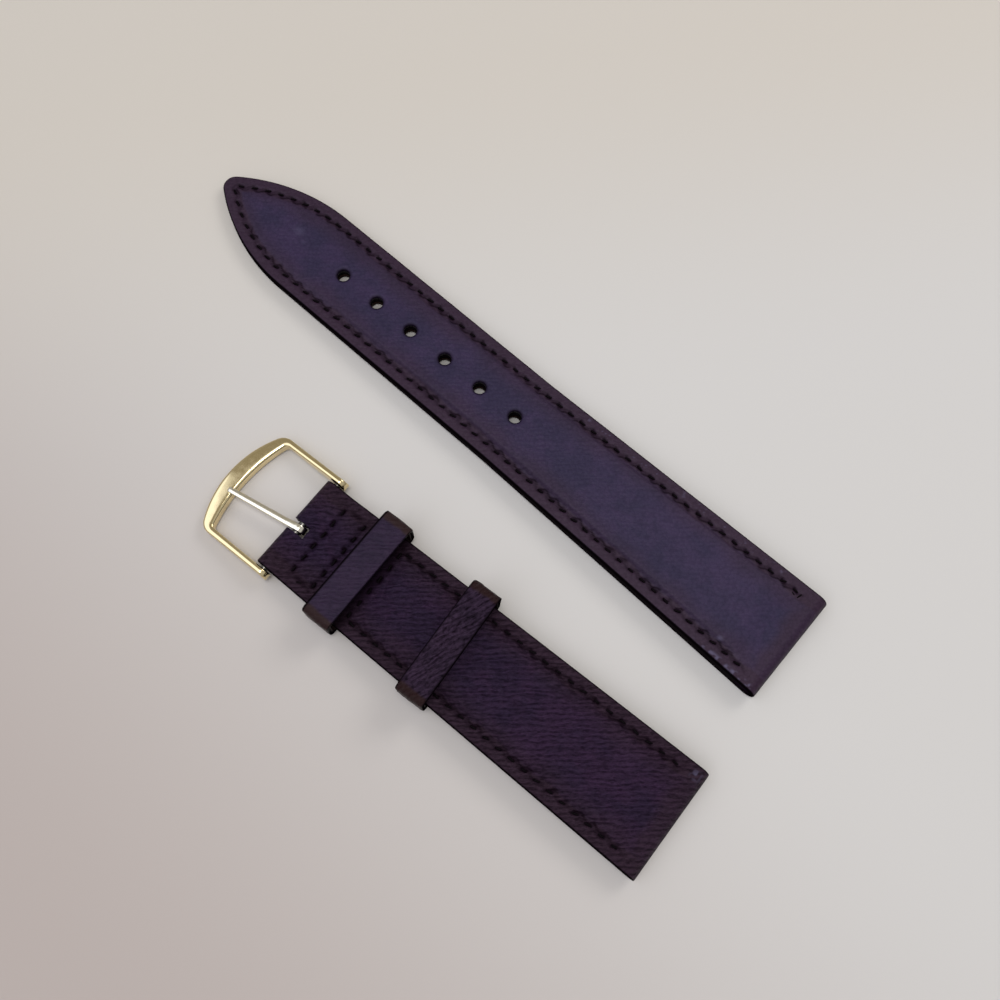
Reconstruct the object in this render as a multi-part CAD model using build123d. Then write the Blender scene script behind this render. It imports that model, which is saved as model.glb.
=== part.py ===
from build123d import *
import os
from math import asin, atan2, cos, degrees, hypot, radians, sin, sqrt

"""A two-piece stitched leather watch strap with a pin buckle.

The buckle half runs along +X from its lug end to the buckle, the hole half lies beside it on -Y
with its own lug end at the same side, and +Z is up. The origin is the centre of the buckle half's
lug tunnel. Both halves rest on a flat surface one nose radius below the origin and arch gently.
Every layer is a band between two circular arcs in the side view, cut to the plan outline.
"""

# Driving dimensions, in millimetres: sizes shared by both halves
lug_width = 18.0
lug_bore_radius = 0.9
lug_nose_radius = 1.75
lining_thickness = 0.7
top_leather_thickness = 0.95
filler_at_lug = 1.85
raised_margin = 2.7
pad_margin = 3.3
pad_corner_radius = 1.2
raised_edge_bevel = 0.25
foldback_length = 9.0
stitch_margin = 1.8
stitch_pitch = 2.25
stitch_length = 1.3
stitch_width = 0.45
stitch_height = 0.2
underside_stitch_height = 0.08
underside_stitch_setback = 5.0
overrun = 6.0

# Buckle half
buckle_half_arch_radius = 650.0
buckle_half_span = 80.0
taper_end_x = 58.25
taper_end_width = 16.2
loop_width = 15.8
loop_axis_x = 66.5
loop_axis_height = 1.15
loop_radius = 1.5
loop_bore_radius = 0.75
loop_filler_gap = 0.3
filler_mid_x = 35.0
filler_at_mid = 0.6
filler_at_loop = 0.25
short_pad_start_x = 4.0
short_pad_mid_x = 27.0
short_pad_end_x = 50.0
short_pad_at_lug = 0.35
short_pad_at_mid = 0.5
short_pad_at_end = 0.4
lining_end_x = 50.4
slot_rear = 1.7
slot_width = 1.9
slot_offset = 0.4
side_stitch_start_x = 2.1
keeper_seam_x = 52.1
rear_seam_x = 58.95
front_seam_x = 62.9
cross_seam_edge = 1.5

# Keepers
keeper_length = 4.8
keeper_leather_thickness = 0.5
keeper_lining_thickness = 0.35
keeper_corner_radius = 1.1
keeper_room = 2.75
fixed_keeper_x = 54.8
fixed_keeper_side_clearance = 0.51
free_keeper_x = 38.1
free_keeper_skew = 3.0
free_keeper_clearance = 0.25
free_keeper_side_clearance = 0.3
seat_clearance = 0.02
flap_ramp = 0.7

# Buckle, in its own frame: origin on the bar axis, +X towards the rim
frame_half_width = 9.3
arm_width = 1.1
arm_end_radius = 1.35
rim_thickness = 1.7
rim_outer_reach = 14.15
rim_width = 2.8
rim_outer_arc_radius = 16.5
rim_inner_arc_radius = 26.5
rim_outer_corner_radius = 2.2
rim_inner_corner_radius = 0.8
rim_outer_round = 0.5
rim_inner_bevel = 0.25
arm_taper_setback = 2.35
tang_width = 1.15
tang_tip_width = 0.95
tang_thickness = 0.75
tang_rim_overlap = 0.95
tang_offset = 0.46
tang_yaw = 9.5
tang_rest_gap = 0.03
tang_root_height = 0.9
eye_radius = 1.25
eye_bore_radius = 0.82

# Spring bar
bar_radius = 0.65
bar_bore_radius = 0.52
bar_lip_bore_radius = 0.42
bar_lip_length = 0.4
bar_half_length = 7.1
bar_tip_radius = 0.35
bar_tip_depth = 0.55
bar_hole_clearance = 0.05
bar_shoulder_radius = 0.55
bar_shoulder_inner = 7.75
bar_shoulder_outer = 8.13
bar_plunger_radius = 0.38
bar_plunger_inner = 6.2
spring_wall = 0.12
spring_running_gap = 0.03

# Hole half
hole_half_arch_radius = 6000.0
hole_half_x = 0.84
hole_half_y = -30.81
hole_half_yaw = -2.71
long_taper_end_x = 51.25
long_width = 15.7
ogive_start_x = 94.5
ogive_radius = 31.0
tip_radius = 2.0
long_filler_mid_x = 55.0
long_filler_at_mid = 0.9
long_filler_at_tip = 0.15
long_pad_start_x = 4.0
long_pad_mid_x = 45.0
long_pad_end_x = 105.0
long_pad_at_lug = 0.35
long_pad_at_mid = 0.5
long_pad_at_tip = 0.3
hole_radius = 1.03
first_hole_x = 51.64
hole_pitch = 7.21
hole_count = 6

floor_z = -lug_nose_radius
frame_inner_half = frame_half_width - arm_width
rim_inner_reach = rim_outer_reach - rim_width


class SideArc:
    """A circular arc in the side view that bulges upwards."""

    def __init__(self, points=None, centre=None, radius=None):
        if points:
            (x1, z1), (x2, z2), (x3, z3) = points
            d = 2 * (x1 * (z2 - z3) + x2 * (z3 - z1) + x3 * (z1 - z2))
            q1, q2, q3 = x1**2 + z1**2, x2**2 + z2**2, x3**2 + z3**2
            x = (q1 * (z2 - z3) + q2 * (z3 - z1) + q3 * (z1 - z2)) / d
            z = (q1 * (x3 - x2) + q2 * (x1 - x3) + q3 * (x2 - x1)) / d
            centre, radius = (x, z), hypot(x1 - x, z1 - z)
        self.centre, self.radius = centre, radius

    def z(self, x):
        return self.centre[1] + sqrt(self.radius**2 - (x - self.centre[0]) ** 2)

    def slope(self, x):
        """The turn about Y, in degrees, that stands a piece square on the arc at x."""
        return degrees(asin((x - self.centre[0]) / self.radius))

    def raised(self, height):
        """The concentric arc that lies height above this one."""
        return SideArc(centre=self.centre, radius=self.radius + height)

    def edge(self, x0, x1):
        ends = [(x, 0, self.z(x)) for x in (x0, (x0 + x1) / 2, x1)]
        return Edge.make_three_point_arc(*ends)

    def thickened(self, stations):
        """An upper arc that lies the given (x, thickness) above this one at three stations."""
        return SideArc(points=[(x, self.z(x) + t) for x, t in stations])


def resting_arc(arch_radius, span):
    """The underside of a half that touches the surface at x = 0 and x = span."""
    half_span = span / 2
    drop = sqrt(arch_radius**2 - half_span**2)
    return SideArc(centre=(half_span, floor_z - drop), radius=arch_radius)


def one(shape):
    """The result of a boolean as one part."""
    solids = shape.solids()
    return solids[0] if len(solids) == 1 else Compound(solids)


def side_prism(edges, half_width=lug_width):
    """A closed side-view outline, extruded across the strap."""
    face = Face(Wire(edges))
    return one(extrude(face, half_width, dir=(0, 1, 0), both=True))


def band(low, high, x0, x1):
    """The slab between two side arcs from x0 to x1."""
    low_edge, high_edge = low.edge(x0, x1), high.edge(x0, x1)
    rear = Edge.make_line(low_edge @ 0, high_edge @ 0)
    front = Edge.make_line(low_edge @ 1, high_edge @ 1)
    return side_prism([low_edge, front, high_edge, rear])


def plan_prism(edges, corner_radius=0):
    """A closed plan outline, its end corners rounded, extruded far above and below the strap."""
    face = Face(Wire(edges))
    if corner_radius:
        columns = face.vertices().group_by(Axis.X)
        corners = [v for v in columns[0] + columns[-1] if abs(v.Y) > corner_radius]
        face = fillet(corners, corner_radius)
    return one(extrude(face, overrun, dir=(0, 0, 1), both=True))


def rod(radius, length, x=0, y=0, z=0):
    """A round rod along Y, centred on the given point."""
    return Pos(x, y, z) * Rot(90, 0, 0) * Cylinder(radius, length)


def mirrored_outline(side_edges):
    """A plan outline from its +Y edges, which run from the lug end to the far end."""
    other = [e.mirror(Plane.XZ) for e in side_edges]
    edges = side_edges + other
    for point in (side_edges[0] @ 0, side_edges[-1] @ 1):
        if abs(point.Y) > seat_clearance:
            edges.append(Edge.make_line((point.X, point.Y, 0), (point.X, -point.Y, 0)))
    return edges


def short_side(inset, x0, x1):
    """The +Y edge of the buckle half between two stations, moved inwards by inset."""
    def half_width(x):
        if x < taper_end_x:
            share = (x + lug_nose_radius) / (taper_end_x + lug_nose_radius)
            return (lug_width + (taper_end_width - lug_width) * share) / 2
        share = (x - taper_end_x) / (loop_axis_x + loop_radius - taper_end_x)
        return (taper_end_width + (loop_width - taper_end_width) * share) / 2

    stations = [x0] + [x for x in (taper_end_x,) if x0 < x < x1] + [x1]
    points = [(x, half_width(x) - inset, 0) for x in stations]
    return [Edge.make_line(a, b) for a, b in zip(points, points[1:])]


def plan_arc(x, y, radius, start, end):
    """A plan arc about (x, y) between two angles in radians."""
    angles = (start, (start + end) / 2, end)
    return Edge.make_three_point_arc(*[(x + radius * cos(a), y + radius * sin(a), 0) for a in angles])


def long_side(inset, x0):
    """The +Y edge of the hole half from x0 to the point of the tip, moved inwards by inset."""
    flank_y = long_width / 2 - ogive_radius
    flank_radius = ogive_radius - inset
    nose_radius = max(tip_radius - inset, 0)
    nose_x = ogive_start_x + sqrt((flank_radius - nose_radius) ** 2 - flank_y**2)
    join = atan2(-flank_y, nose_x - ogive_start_x)
    share = (x0 + lug_nose_radius) / (long_taper_end_x + lug_nose_radius)
    start_y = (lug_width + (long_width - lug_width) * share) / 2 - inset
    end_y = long_width / 2 - inset
    side = [
        Edge.make_line((x0, start_y, 0), (long_taper_end_x, end_y, 0)),
        Edge.make_line((long_taper_end_x, end_y, 0), (ogive_start_x, end_y, 0)),
        plan_arc(ogive_start_x, flank_y, flank_radius, radians(90), join),
    ]
    if nose_radius:
        side.append(plan_arc(nose_x, 0, nose_radius, join, 0))
    return side


def tip_reach():
    """The x of the hole half's point."""
    return (long_side(0, 0)[-1] @ 1).X


def stitch(surface, x, y, angle, height):
    """One ridged stitch on a side arc, or hanging under it where height is negative."""
    corners = [(0, -stitch_width / 2, 0), (0, stitch_width / 2, 0), (0, 0, height)]
    section = Face(Wire([Edge.make_line(a, b) for a, b in zip(corners, corners[1:] + corners[:1])]))
    thread = extrude(section, stitch_length / 2, dir=(1, 0, 0), both=True)
    return Pos(x, y, surface.z(x)) * Rot(0, surface.slope(x), 0) * Rot(0, 0, angle) * thread


def stitches_along(surface, edges, height, end_x=None):
    """Stitches at an even pitch along a chain of plan edges and along its mirror image."""
    wire = Wire(edges)
    count = round(wire.length / stitch_pitch)
    stitches = []
    for k in range(count):
        share = (k + 0.5) / count
        point, along = wire.position_at(share), wire.tangent_at(share)
        if end_x and point.X > end_x:
            continue
        angle = degrees(atan2(along.Y, along.X))
        stitches.append(stitch(surface, point.X, point.Y, angle, height))
        stitches.append(stitch(surface, point.X, -point.Y, -angle, height))
    return stitches


def stitches_across(surface, x, half_width, height):
    """Stitches at an even pitch across the strap."""
    count = round(2 * half_width / stitch_pitch)
    places = [half_width * ((2 * k + 1) / count - 1) for k in range(count)]
    return [stitch(surface, x, y, 90, height) for y in places]


def seam(stitches):
    """A group of separate stitches as one piece."""
    return Compound([solid for item in stitches for solid in item.solids()])


def raised_centre(filler_top, pad_top, pad_side, cover_side):
    """The padding core and the leather drawn over it, from the +Y plan edges of each."""
    far_x = tip_reach() + overrun
    pad_plan = plan_prism(mirrored_outline(pad_side), pad_corner_radius)
    cover_plan = plan_prism(mirrored_outline(cover_side), pad_corner_radius)
    pad = one(band(filler_top, pad_top, -overrun, far_x) & pad_plan)
    cover_top = pad_top.raised(top_leather_thickness)
    cover = one(band(filler_top, cover_top, -overrun, far_x) & cover_plan)
    crown = cover.faces().sort_by(Axis.Z)[-1]
    return pad, cover.chamfer(raised_edge_bevel, None, crown.edges())


def nose_and_foldback(base):
    """The leather turned round the lug tunnel and folded back under the strap."""
    nose = rod(lug_nose_radius, lug_width)
    fold = band(base, base.raised(lining_thickness), 0, foldback_length)
    return nose + fold


# Buckle half: side arcs of its layers
short_base = resting_arc(buckle_half_arch_radius, buckle_half_span)
short_lining_top = short_base.raised(lining_thickness)
short_filler_top = short_lining_top.thickened(
    [(0, filler_at_lug), (filler_mid_x, filler_at_mid), (loop_axis_x, filler_at_loop)]
)
short_margin_top = short_filler_top.raised(top_leather_thickness)
short_pad_top = short_filler_top.thickened(
    [
        (short_pad_start_x, short_pad_at_lug),
        (short_pad_mid_x, short_pad_at_mid),
        (short_pad_end_x, short_pad_at_end),
    ]
)
loop_axis_z = short_base.z(loop_axis_x) + loop_axis_height
loop_front_x = loop_axis_x + loop_radius
filler_end_x = loop_axis_x - loop_radius - loop_filler_gap
rim_corner = (rim_outer_reach, rim_thickness / 2)
buckle_tilt = degrees(asin((loop_axis_z - floor_z) / hypot(*rim_corner)) - atan2(rim_corner[1], rim_corner[0]))
keeper_wall = keeper_leather_thickness + keeper_lining_thickness


def keeper_ring(x, side_clearance, inner_height):
    """The outer leather and lining of a keeper that fits the strap at x, standing on z = 0."""
    half_width = (short_side(0, x, x + keeper_length)[0] @ 0).Y + side_clearance + keeper_wall
    height = inner_height + 2 * keeper_wall
    section = Plane.YZ * Pos(0, height / 2)

    def sleeve(depth):
        radius = keeper_corner_radius - depth
        shape = section * RectangleRounded(2 * (half_width - depth), height - 2 * depth, radius)
        return one(extrude(shape, keeper_length / 2, both=True))

    middle = sleeve(keeper_leather_thickness)
    return one(sleeve(0) - middle), one(middle - sleeve(keeper_wall))


def arched_place(x, z, skew=0):
    """Stands a piece square on the buckle half's arch at x, turned by skew about Z."""
    return Pos(x, 0, z) * Rot(0, short_base.slope(x), 0) * Rot(0, 0, skew)


stack_at_fixed = short_margin_top.z(fixed_keeper_x) - short_lining_top.z(fixed_keeper_x)
fixed_keeper_z = short_lining_top.z(fixed_keeper_x) - seat_clearance - keeper_wall
fixed_place = arched_place(fixed_keeper_x, fixed_keeper_z)

stack_at_free = short_pad_top.z(free_keeper_x) + top_leather_thickness - short_base.z(free_keeper_x)
free_keeper_z = short_base.z(free_keeper_x) - free_keeper_clearance - keeper_wall
free_place = arched_place(free_keeper_x, free_keeper_z, free_keeper_skew)


def make_buckle_half():
    """The leather, lining, filler, padding and seams of the half that carries the buckle."""
    outline = plan_prism(mirrored_outline(short_side(0, -lug_nose_radius, loop_front_x)))
    lug_bore = rod(lug_bore_radius, 2 * lug_width)
    loop = rod(loop_radius, lug_width, loop_axis_x, 0, loop_axis_z)
    loop_bore = rod(loop_bore_radius, 2 * lug_width, loop_axis_x, 0, loop_axis_z)
    slot = Pos(loop_axis_x - slot_rear, slot_offset, loop_axis_z) * Box(
        2 * overrun, slot_width, 2 * overrun, align=(Align.MIN, Align.CENTER, Align.CENTER)
    )

    step = pad_margin - raised_margin
    pad, cover = raised_centre(
        short_filler_top,
        short_pad_top,
        short_side(pad_margin, short_pad_start_x, short_pad_end_x),
        short_side(raised_margin, short_pad_start_x - step, short_pad_end_x + step),
    )
    upper = band(short_filler_top, short_margin_top, 0, loop_axis_x)
    flap = band(short_base, short_lining_top, lining_end_x, loop_axis_x)
    pocket_length = keeper_length + 2 * seat_clearance
    hump_reach = pocket_length / 2 + flap_ramp
    hump = band(
        short_base.raised(-keeper_wall - seat_clearance),
        short_base.raised(lining_thickness / 2),
        fixed_keeper_x - hump_reach,
        fixed_keeper_x + hump_reach,
    )
    pocket_low = Pos(0, 0, -seat_clearance) * Box(
        pocket_length, 2 * lug_width, keeper_wall + 2 * seat_clearance,
        align=(Align.CENTER, Align.CENTER, Align.MIN),
    )
    leather = nose_and_foldback(short_base) + upper + cover + flap + hump + loop
    leather = leather & outline
    leather = leather - lug_bore - loop_bore - slot - pad - fixed_place * pocket_low

    filler = band(short_lining_top, short_filler_top, lug_nose_radius, filler_end_x) & outline
    lining = band(short_base, short_lining_top, foldback_length, lining_end_x) & outline
    return one(leather), pad, one(filler), one(lining)


def make_short_stitching():
    """Both side seams, top and underside, and the three seams across the buckle end."""
    side = short_side(stitch_margin, side_stitch_start_x, keeper_seam_x)
    low_side = short_side(stitch_margin, side_stitch_start_x + underside_stitch_setback, lining_end_x)
    sides = stitches_along(short_margin_top, side, stitch_height)
    sides += stitches_along(short_base, low_side, -underside_stitch_height)

    def reach(x):
        return (short_side(cross_seam_edge, x, x + stitch_margin)[0] @ 0).Y

    cross = []
    for x in (keeper_seam_x, rear_seam_x, front_seam_x):
        cross += stitches_across(short_margin_top, x, reach(x), stitch_height)
    middle = (rear_seam_x + front_seam_x) / 2
    for y in (reach(middle), -reach(middle)):
        cross.append(stitch(short_margin_top, middle, y, 0, stitch_height))
    return seam(sides), seam(cross)


# Hole half: side arcs of its layers
tip_x = tip_reach()
long_base = resting_arc(hole_half_arch_radius, tip_x)
long_lining_top = long_base.raised(lining_thickness)
long_filler_top = long_lining_top.thickened(
    [(0, filler_at_lug), (long_filler_mid_x, long_filler_at_mid), (tip_x, long_filler_at_tip)]
)
long_margin_top = long_filler_top.raised(top_leather_thickness)
long_pad_top = long_filler_top.thickened(
    [
        (long_pad_start_x, long_pad_at_lug),
        (long_pad_mid_x, long_pad_at_mid),
        (long_pad_end_x, long_pad_at_tip),
    ]
)
hole_half_place = Pos(hole_half_x, hole_half_y, 0) * Rot(0, 0, hole_half_yaw)


def make_hole_half():
    """The leather, lining, filler and padding of the half with the punched holes."""
    outline = plan_prism(mirrored_outline(long_side(0, -lug_nose_radius)))
    lug_bore = rod(lug_bore_radius, 2 * lug_width)
    holes = [
        Pos(first_hole_x + k * hole_pitch, 0, 0) * Cylinder(hole_radius, 2 * overrun)
        for k in range(hole_count)
    ]

    step = pad_margin - raised_margin
    end = tip_x + overrun
    pad, cover = raised_centre(
        long_filler_top,
        long_pad_top,
        long_side(pad_margin, long_pad_start_x),
        long_side(raised_margin, long_pad_start_x - step),
    )
    leather = nose_and_foldback(long_base) + band(long_filler_top, long_margin_top, 0, end) + cover
    leather = (leather & outline) - lug_bore - pad
    filler = band(long_lining_top, long_filler_top, lug_nose_radius, end) & outline
    lining = band(long_base, long_lining_top, foldback_length, end) & outline
    return [one(piece - holes) for piece in (leather, pad, filler, lining)]


def make_long_stitching():
    """The seam that runs all round the hole half, top and underside."""
    path = long_side(stitch_margin, side_stitch_start_x)
    low_path = long_side(stitch_margin, side_stitch_start_x + underside_stitch_setback)
    low_end_x = tip_x - underside_stitch_setback
    stitches = stitches_along(long_margin_top, path, stitch_height)
    stitches += stitches_along(long_base, low_path, -underside_stitch_height, low_end_x)
    return seam(stitches)


def make_frame():
    """The buckle frame: a rounded rim, two arms and the bosses that take the bar's ends."""
    def outline(half_width, reach, arc_radius, corner_radius):
        x = reach - arc_radius + sqrt(arc_radius**2 - half_width**2)
        sides = [Edge.make_line((-overrun, s * half_width, 0), (x, s * half_width, 0)) for s in (1, -1)]
        arc = Edge.make_three_point_arc((x, half_width, 0), (reach, 0, 0), (x, -half_width, 0))
        back = Edge.make_line((-overrun, half_width, 0), (-overrun, -half_width, 0))
        face = Face(Wire(sides + [arc, back]))
        rounded = fillet(face.vertices().group_by(Axis.X)[-1], corner_radius)
        return one(extrude(rounded, overrun, dir=(0, 0, 1), both=True))

    outer = outline(frame_half_width, rim_outer_reach, rim_outer_arc_radius, rim_outer_corner_radius)
    inner = outline(frame_inner_half, rim_inner_reach, rim_inner_arc_radius, rim_inner_corner_radius)
    half = rim_thickness / 2
    taper_x = rim_inner_reach - arm_taper_setback
    reach = rim_outer_reach + arm_end_radius
    side = [
        (0, 0, arm_end_radius),
        (taper_x, 0, half),
        (reach, 0, half),
        (reach, 0, -half),
        (taper_x, 0, -half),
        (0, 0, -arm_end_radius),
    ]
    plate = side_prism([Edge.make_line(a, b) for a, b in zip(side, side[1:] + side[:1])])
    frame = one((outer - inner) & plate)

    outer_edge = frame.edges().sort_by_distance((rim_outer_reach, 0, half))[0]
    frame = frame.fillet(rim_outer_round, [outer_edge])
    inner_edge = frame.edges().sort_by_distance((rim_inner_reach, 0, half))[0]
    frame = frame.chamfer(rim_inner_bevel, None, [inner_edge])
    bosses = rod(arm_end_radius, 2 * frame_half_width) - rod(arm_end_radius, 2 * frame_inner_half)
    return one(frame + bosses)


def make_tang():
    """The buckle tongue: an eye round the bar and a slim shank that rests on the rim."""
    rim_top = rim_thickness / 2 + tang_rest_gap
    tip_top = rim_top + tang_thickness
    rest_x = rim_inner_reach - tang_width
    tang_reach = rim_inner_reach + tang_rim_overlap
    side = [
        (0, 0, tang_root_height),
        (rest_x, 0, tip_top),
        (tang_reach - tang_thickness / 2, 0, tip_top),
        (tang_reach, 0, rim_top + tang_thickness / 2),
        (tang_reach, 0, rim_top),
        (rest_x, 0, rim_top),
        (eye_radius, 0, tang_root_height - tang_thickness),
        (0, 0, 0),
    ]
    shank = side_prism([Edge.make_line(a, b) for a, b in zip(side, side[1:] + side[:1])])
    half, tip_half = tang_width / 2, tang_tip_width / 2
    plan = [
        (-eye_radius, half, 0),
        (eye_radius, half, 0),
        (tang_reach, tip_half, 0),
        (tang_reach, -tip_half, 0),
        (eye_radius, -half, 0),
        (-eye_radius, -half, 0),
    ]
    outline = plan_prism([Edge.make_line(a, b) for a, b in zip(plan, plan[1:] + plan[:1])])
    tang = ((shank + rod(eye_radius, lug_width)) & outline) - rod(eye_bore_radius, lug_width)
    return Pos(0, tang_offset, 0) * Rot(0, 0, tang_yaw) * one(tang)


def make_spring_bar():
    """The bar's tube, its two sprung tips and the spring sleeve between them."""
    lip_y = bar_half_length - bar_lip_length
    tube = rod(bar_radius, 2 * bar_half_length) - rod(bar_bore_radius, 2 * lip_y)
    tube = tube - rod(bar_lip_bore_radius, 4 * bar_half_length)
    spring_radius = bar_bore_radius - spring_running_gap
    spring_length = 2 * (bar_plunger_inner - spring_running_gap)
    spring = rod(spring_radius, spring_length) - rod(spring_radius - spring_wall, 2 * spring_length)

    def tip(side):
        def stage(radius, y0, y1):
            return rod(radius, y1 - y0, 0, side * (y0 + y1) / 2, 0)

        pin_end = frame_inner_half + bar_tip_depth
        plunger = stage(bar_plunger_radius, bar_plunger_inner, bar_shoulder_inner)
        head = stage(bar_shoulder_radius, bar_shoulder_inner, bar_shoulder_outer)
        return one(plunger + head + stage(bar_tip_radius, bar_shoulder_outer, pin_end))

    return one(tube), one(spring), tip(1), tip(-1)


def write(name, shape):
    export_step(shape, f"parts/{name}.step")


os.makedirs("parts", exist_ok=True)

short_leather, short_pad, short_filler, short_lining = make_buckle_half()
side_seams, loop_seams = make_short_stitching()
write("short_top_leather", short_leather)
write("short_padding", short_pad)
write("short_stiffener", short_filler)
write("short_lining", short_lining)
write("short_side_stitching", side_seams)
write("loop_stitching", loop_seams)

fixed_height = stack_at_fixed + keeper_room
fixed_leather, fixed_lining = keeper_ring(fixed_keeper_x, fixed_keeper_side_clearance, fixed_height)
write("fixed_keeper_leather", fixed_place * fixed_leather)
write("fixed_keeper_lining", fixed_place * fixed_lining)
free_height = stack_at_free + free_keeper_clearance + keeper_room
free_leather, free_lining = keeper_ring(free_keeper_x, free_keeper_side_clearance, free_height)
write("free_keeper_leather", free_place * free_leather)
write("free_keeper_lining", free_place * free_lining)

bar_place = Pos(loop_axis_x, 0, loop_axis_z)
buckle_place = bar_place * Rot(0, buckle_tilt, 0)
tube, spring, left_tip, right_tip = make_spring_bar()
frame = make_frame()
tip_hole_length = 2 * (frame_inner_half + bar_tip_depth + bar_hole_clearance)
frame = one(frame - rod(bar_tip_radius + bar_hole_clearance, tip_hole_length))
write("buckle_frame", buckle_place * frame)
write("buckle_tang", buckle_place * make_tang())
write("spring_bar_tube", bar_place * tube)
write("spring_bar_spring", bar_place * spring)
write("spring_bar_tip_left", bar_place * left_tip)
write("spring_bar_tip_right", bar_place * right_tip)

long_leather, long_pad, long_filler, long_lining = make_hole_half()
write("long_top_leather", hole_half_place * long_leather)
write("long_padding", hole_half_place * long_pad)
write("long_stiffener", hole_half_place * long_filler)
write("long_lining", hole_half_place * long_lining)
write("long_stitching", hole_half_place * make_long_stitching())
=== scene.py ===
"""A two-piece stitched leather watch strap with its pin buckle, laid out on a pale table.

Lengths are in millimetres until a mesh is made, when they become metres. The buckle half is built
in the row frame, and the hole half in a frame of its own that is then turned and moved beside it.
"""

import math

import bmesh
import bpy
import numpy as np
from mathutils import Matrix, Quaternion, Vector


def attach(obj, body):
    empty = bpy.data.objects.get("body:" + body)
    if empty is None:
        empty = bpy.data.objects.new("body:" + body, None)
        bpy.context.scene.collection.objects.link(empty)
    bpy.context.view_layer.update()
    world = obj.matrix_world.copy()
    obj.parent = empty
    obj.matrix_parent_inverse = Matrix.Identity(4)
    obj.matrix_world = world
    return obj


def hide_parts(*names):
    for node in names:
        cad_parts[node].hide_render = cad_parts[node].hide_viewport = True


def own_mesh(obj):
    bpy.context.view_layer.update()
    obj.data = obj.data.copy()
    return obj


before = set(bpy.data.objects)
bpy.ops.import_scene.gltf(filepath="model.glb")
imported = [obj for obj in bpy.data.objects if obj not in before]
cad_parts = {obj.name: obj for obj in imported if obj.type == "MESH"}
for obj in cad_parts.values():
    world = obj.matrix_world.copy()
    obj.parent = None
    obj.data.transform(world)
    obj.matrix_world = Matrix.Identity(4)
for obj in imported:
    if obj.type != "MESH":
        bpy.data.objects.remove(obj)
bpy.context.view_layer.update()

MM = 0.001

# Layers shared by both halves
FLOOR_Z = -1.75
NOSE_RADIUS = 1.75
NOSE_WALL = 0.85
LINING = 0.7
TOP_LEATHER = 0.95
FOLDBACK = 9.0
EDGE_ROUND = 0.24
STITCH_MARGIN = 1.8
STITCH_START = 2.1
UNDER_SETBACK = 5.0
BORDER = 3.4
# Part of the way to the middle that the border may take, where a half is narrow
NARROW_SHARE = 0.93
HALF_LUG_WIDTH = 9.0
PAD_INSET, PAD_BORDER = 3.3, 0.9
ROW_PLACE = (0, 0, 0)
CUT_REACH = 6
NOISE_CELLS = 61

# Buckle half
LOOP_X = 66.5
LOOP_RADIUS = 1.5
LOOP_WALL = 0.75
LOOP_Z_ABOVE_BASE = 1.15
FLAP_END = 50.4
CROSS_SEAMS = (52.1, 58.95, 62.9)
BOX_MIDDLE = (CROSS_SEAMS[1] + CROSS_SEAMS[2]) / 2
CROSS_SEAM_EDGE = 1.5
SLOT_REAR = 64.8
SLOT_FRONT = 72.0
SLOT_LOW = -0.55
SLOT_HIGH = 1.35
KEEPER_LENGTH = 4.8
KEEPER_LEATHER = 0.5
KEEPER_WALL = 0.85
KEEPER_ROOM = 2.75
KEEPER_CORNER = 1.1
FIXED_KEEPER_X = 54.8
FREE_KEEPER_X = 38.1
FREE_KEEPER_SKEW = 3.0

# Buckle, in its own frame: origin on the bar, +X towards the rim
ARM_OUTER, ARM_INNER = 9.3, 8.2
ARM_LENGTH = 9.3
RIM_OUTER, RIM_INNER = 14.15, 11.35
OUTER_ARC, OUTER_CORNER = 16.5, 2.2
INNER_ARC, INNER_CORNER = 26.5, 0.8
RIM_HALF = 0.85
FRAME_SIDES, TANG_SIDES, PIN_SIDES = 48, 24, 24
BOSS_RADIUS = 1.35
PIN_HOLE_RADIUS, PIN_HOLE_END = 0.4, 9.05
EYE_RADIUS, EYE_POINTS = 1.035, 44
EYE_HALF_WIDTH, TIP_HALF_WIDTH = 0.575, 0.475
SHANK_START, SHANK_END = 2.3, 10.4
TANG_DIP, TANG_ROUNDING, TANG_REACH = 11.2, 11.85, 12.3
TANG_OFFSET, TANG_YAW = 0.46, 9.5

# Spring of the bar: middle of its wire, the wire itself, half its length and the turns in it
SPRING_RADIUS = 0.43
WIRE_RADIUS = 0.06
SPRING_REACH = 6.17
SPRING_TURNS = 15

# Threads: half their width and height, how deep they are seated, and their flatness underneath
THREAD_HALF_WIDTH, THREAD_HALF_HEIGHT = 0.17, 0.14
THREAD_SEAT = 0.14
UNDERSIDE_FLATNESS = 0.22
STRAND_RINGS, STRAND_SIDES = 9, 6

# Hole half
HOLE_HALF_PLACE = (0.84, -30.81, -2.71)
HOLES = 51.64 + 7.21 * np.arange(6)
HOLE_RADIUS, HOLE_SIDES = 1.03, 40
FLANK_HALF_WIDTH = 7.85
OGIVE_X = 94.5
OGIVE_RADIUS = 31.0
TIP_RADIUS = 2.0
# A pale spot near the lug and two near the tip: x, y, reach and strength
PALE_PLACES = ((7.3, 5.9, 0.7, 0.4), (98.5, -1.0, 1.7, 0.16), (96.6, -0.1, 0.7, 0.1))


def step(low, high, value):
    """0 below low, 1 above high, and the smooth cubic 3t^2 - 2t^3 between them."""
    t = np.clip((value - low) / (high - low), 0, 1)
    return t * t * (3 - 2 * t)


def bell(distance, reach):
    """A smooth bump: 1 at distance 0, falling to 0 at reach."""
    return 1 - step(0, reach, np.abs(distance))


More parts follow.
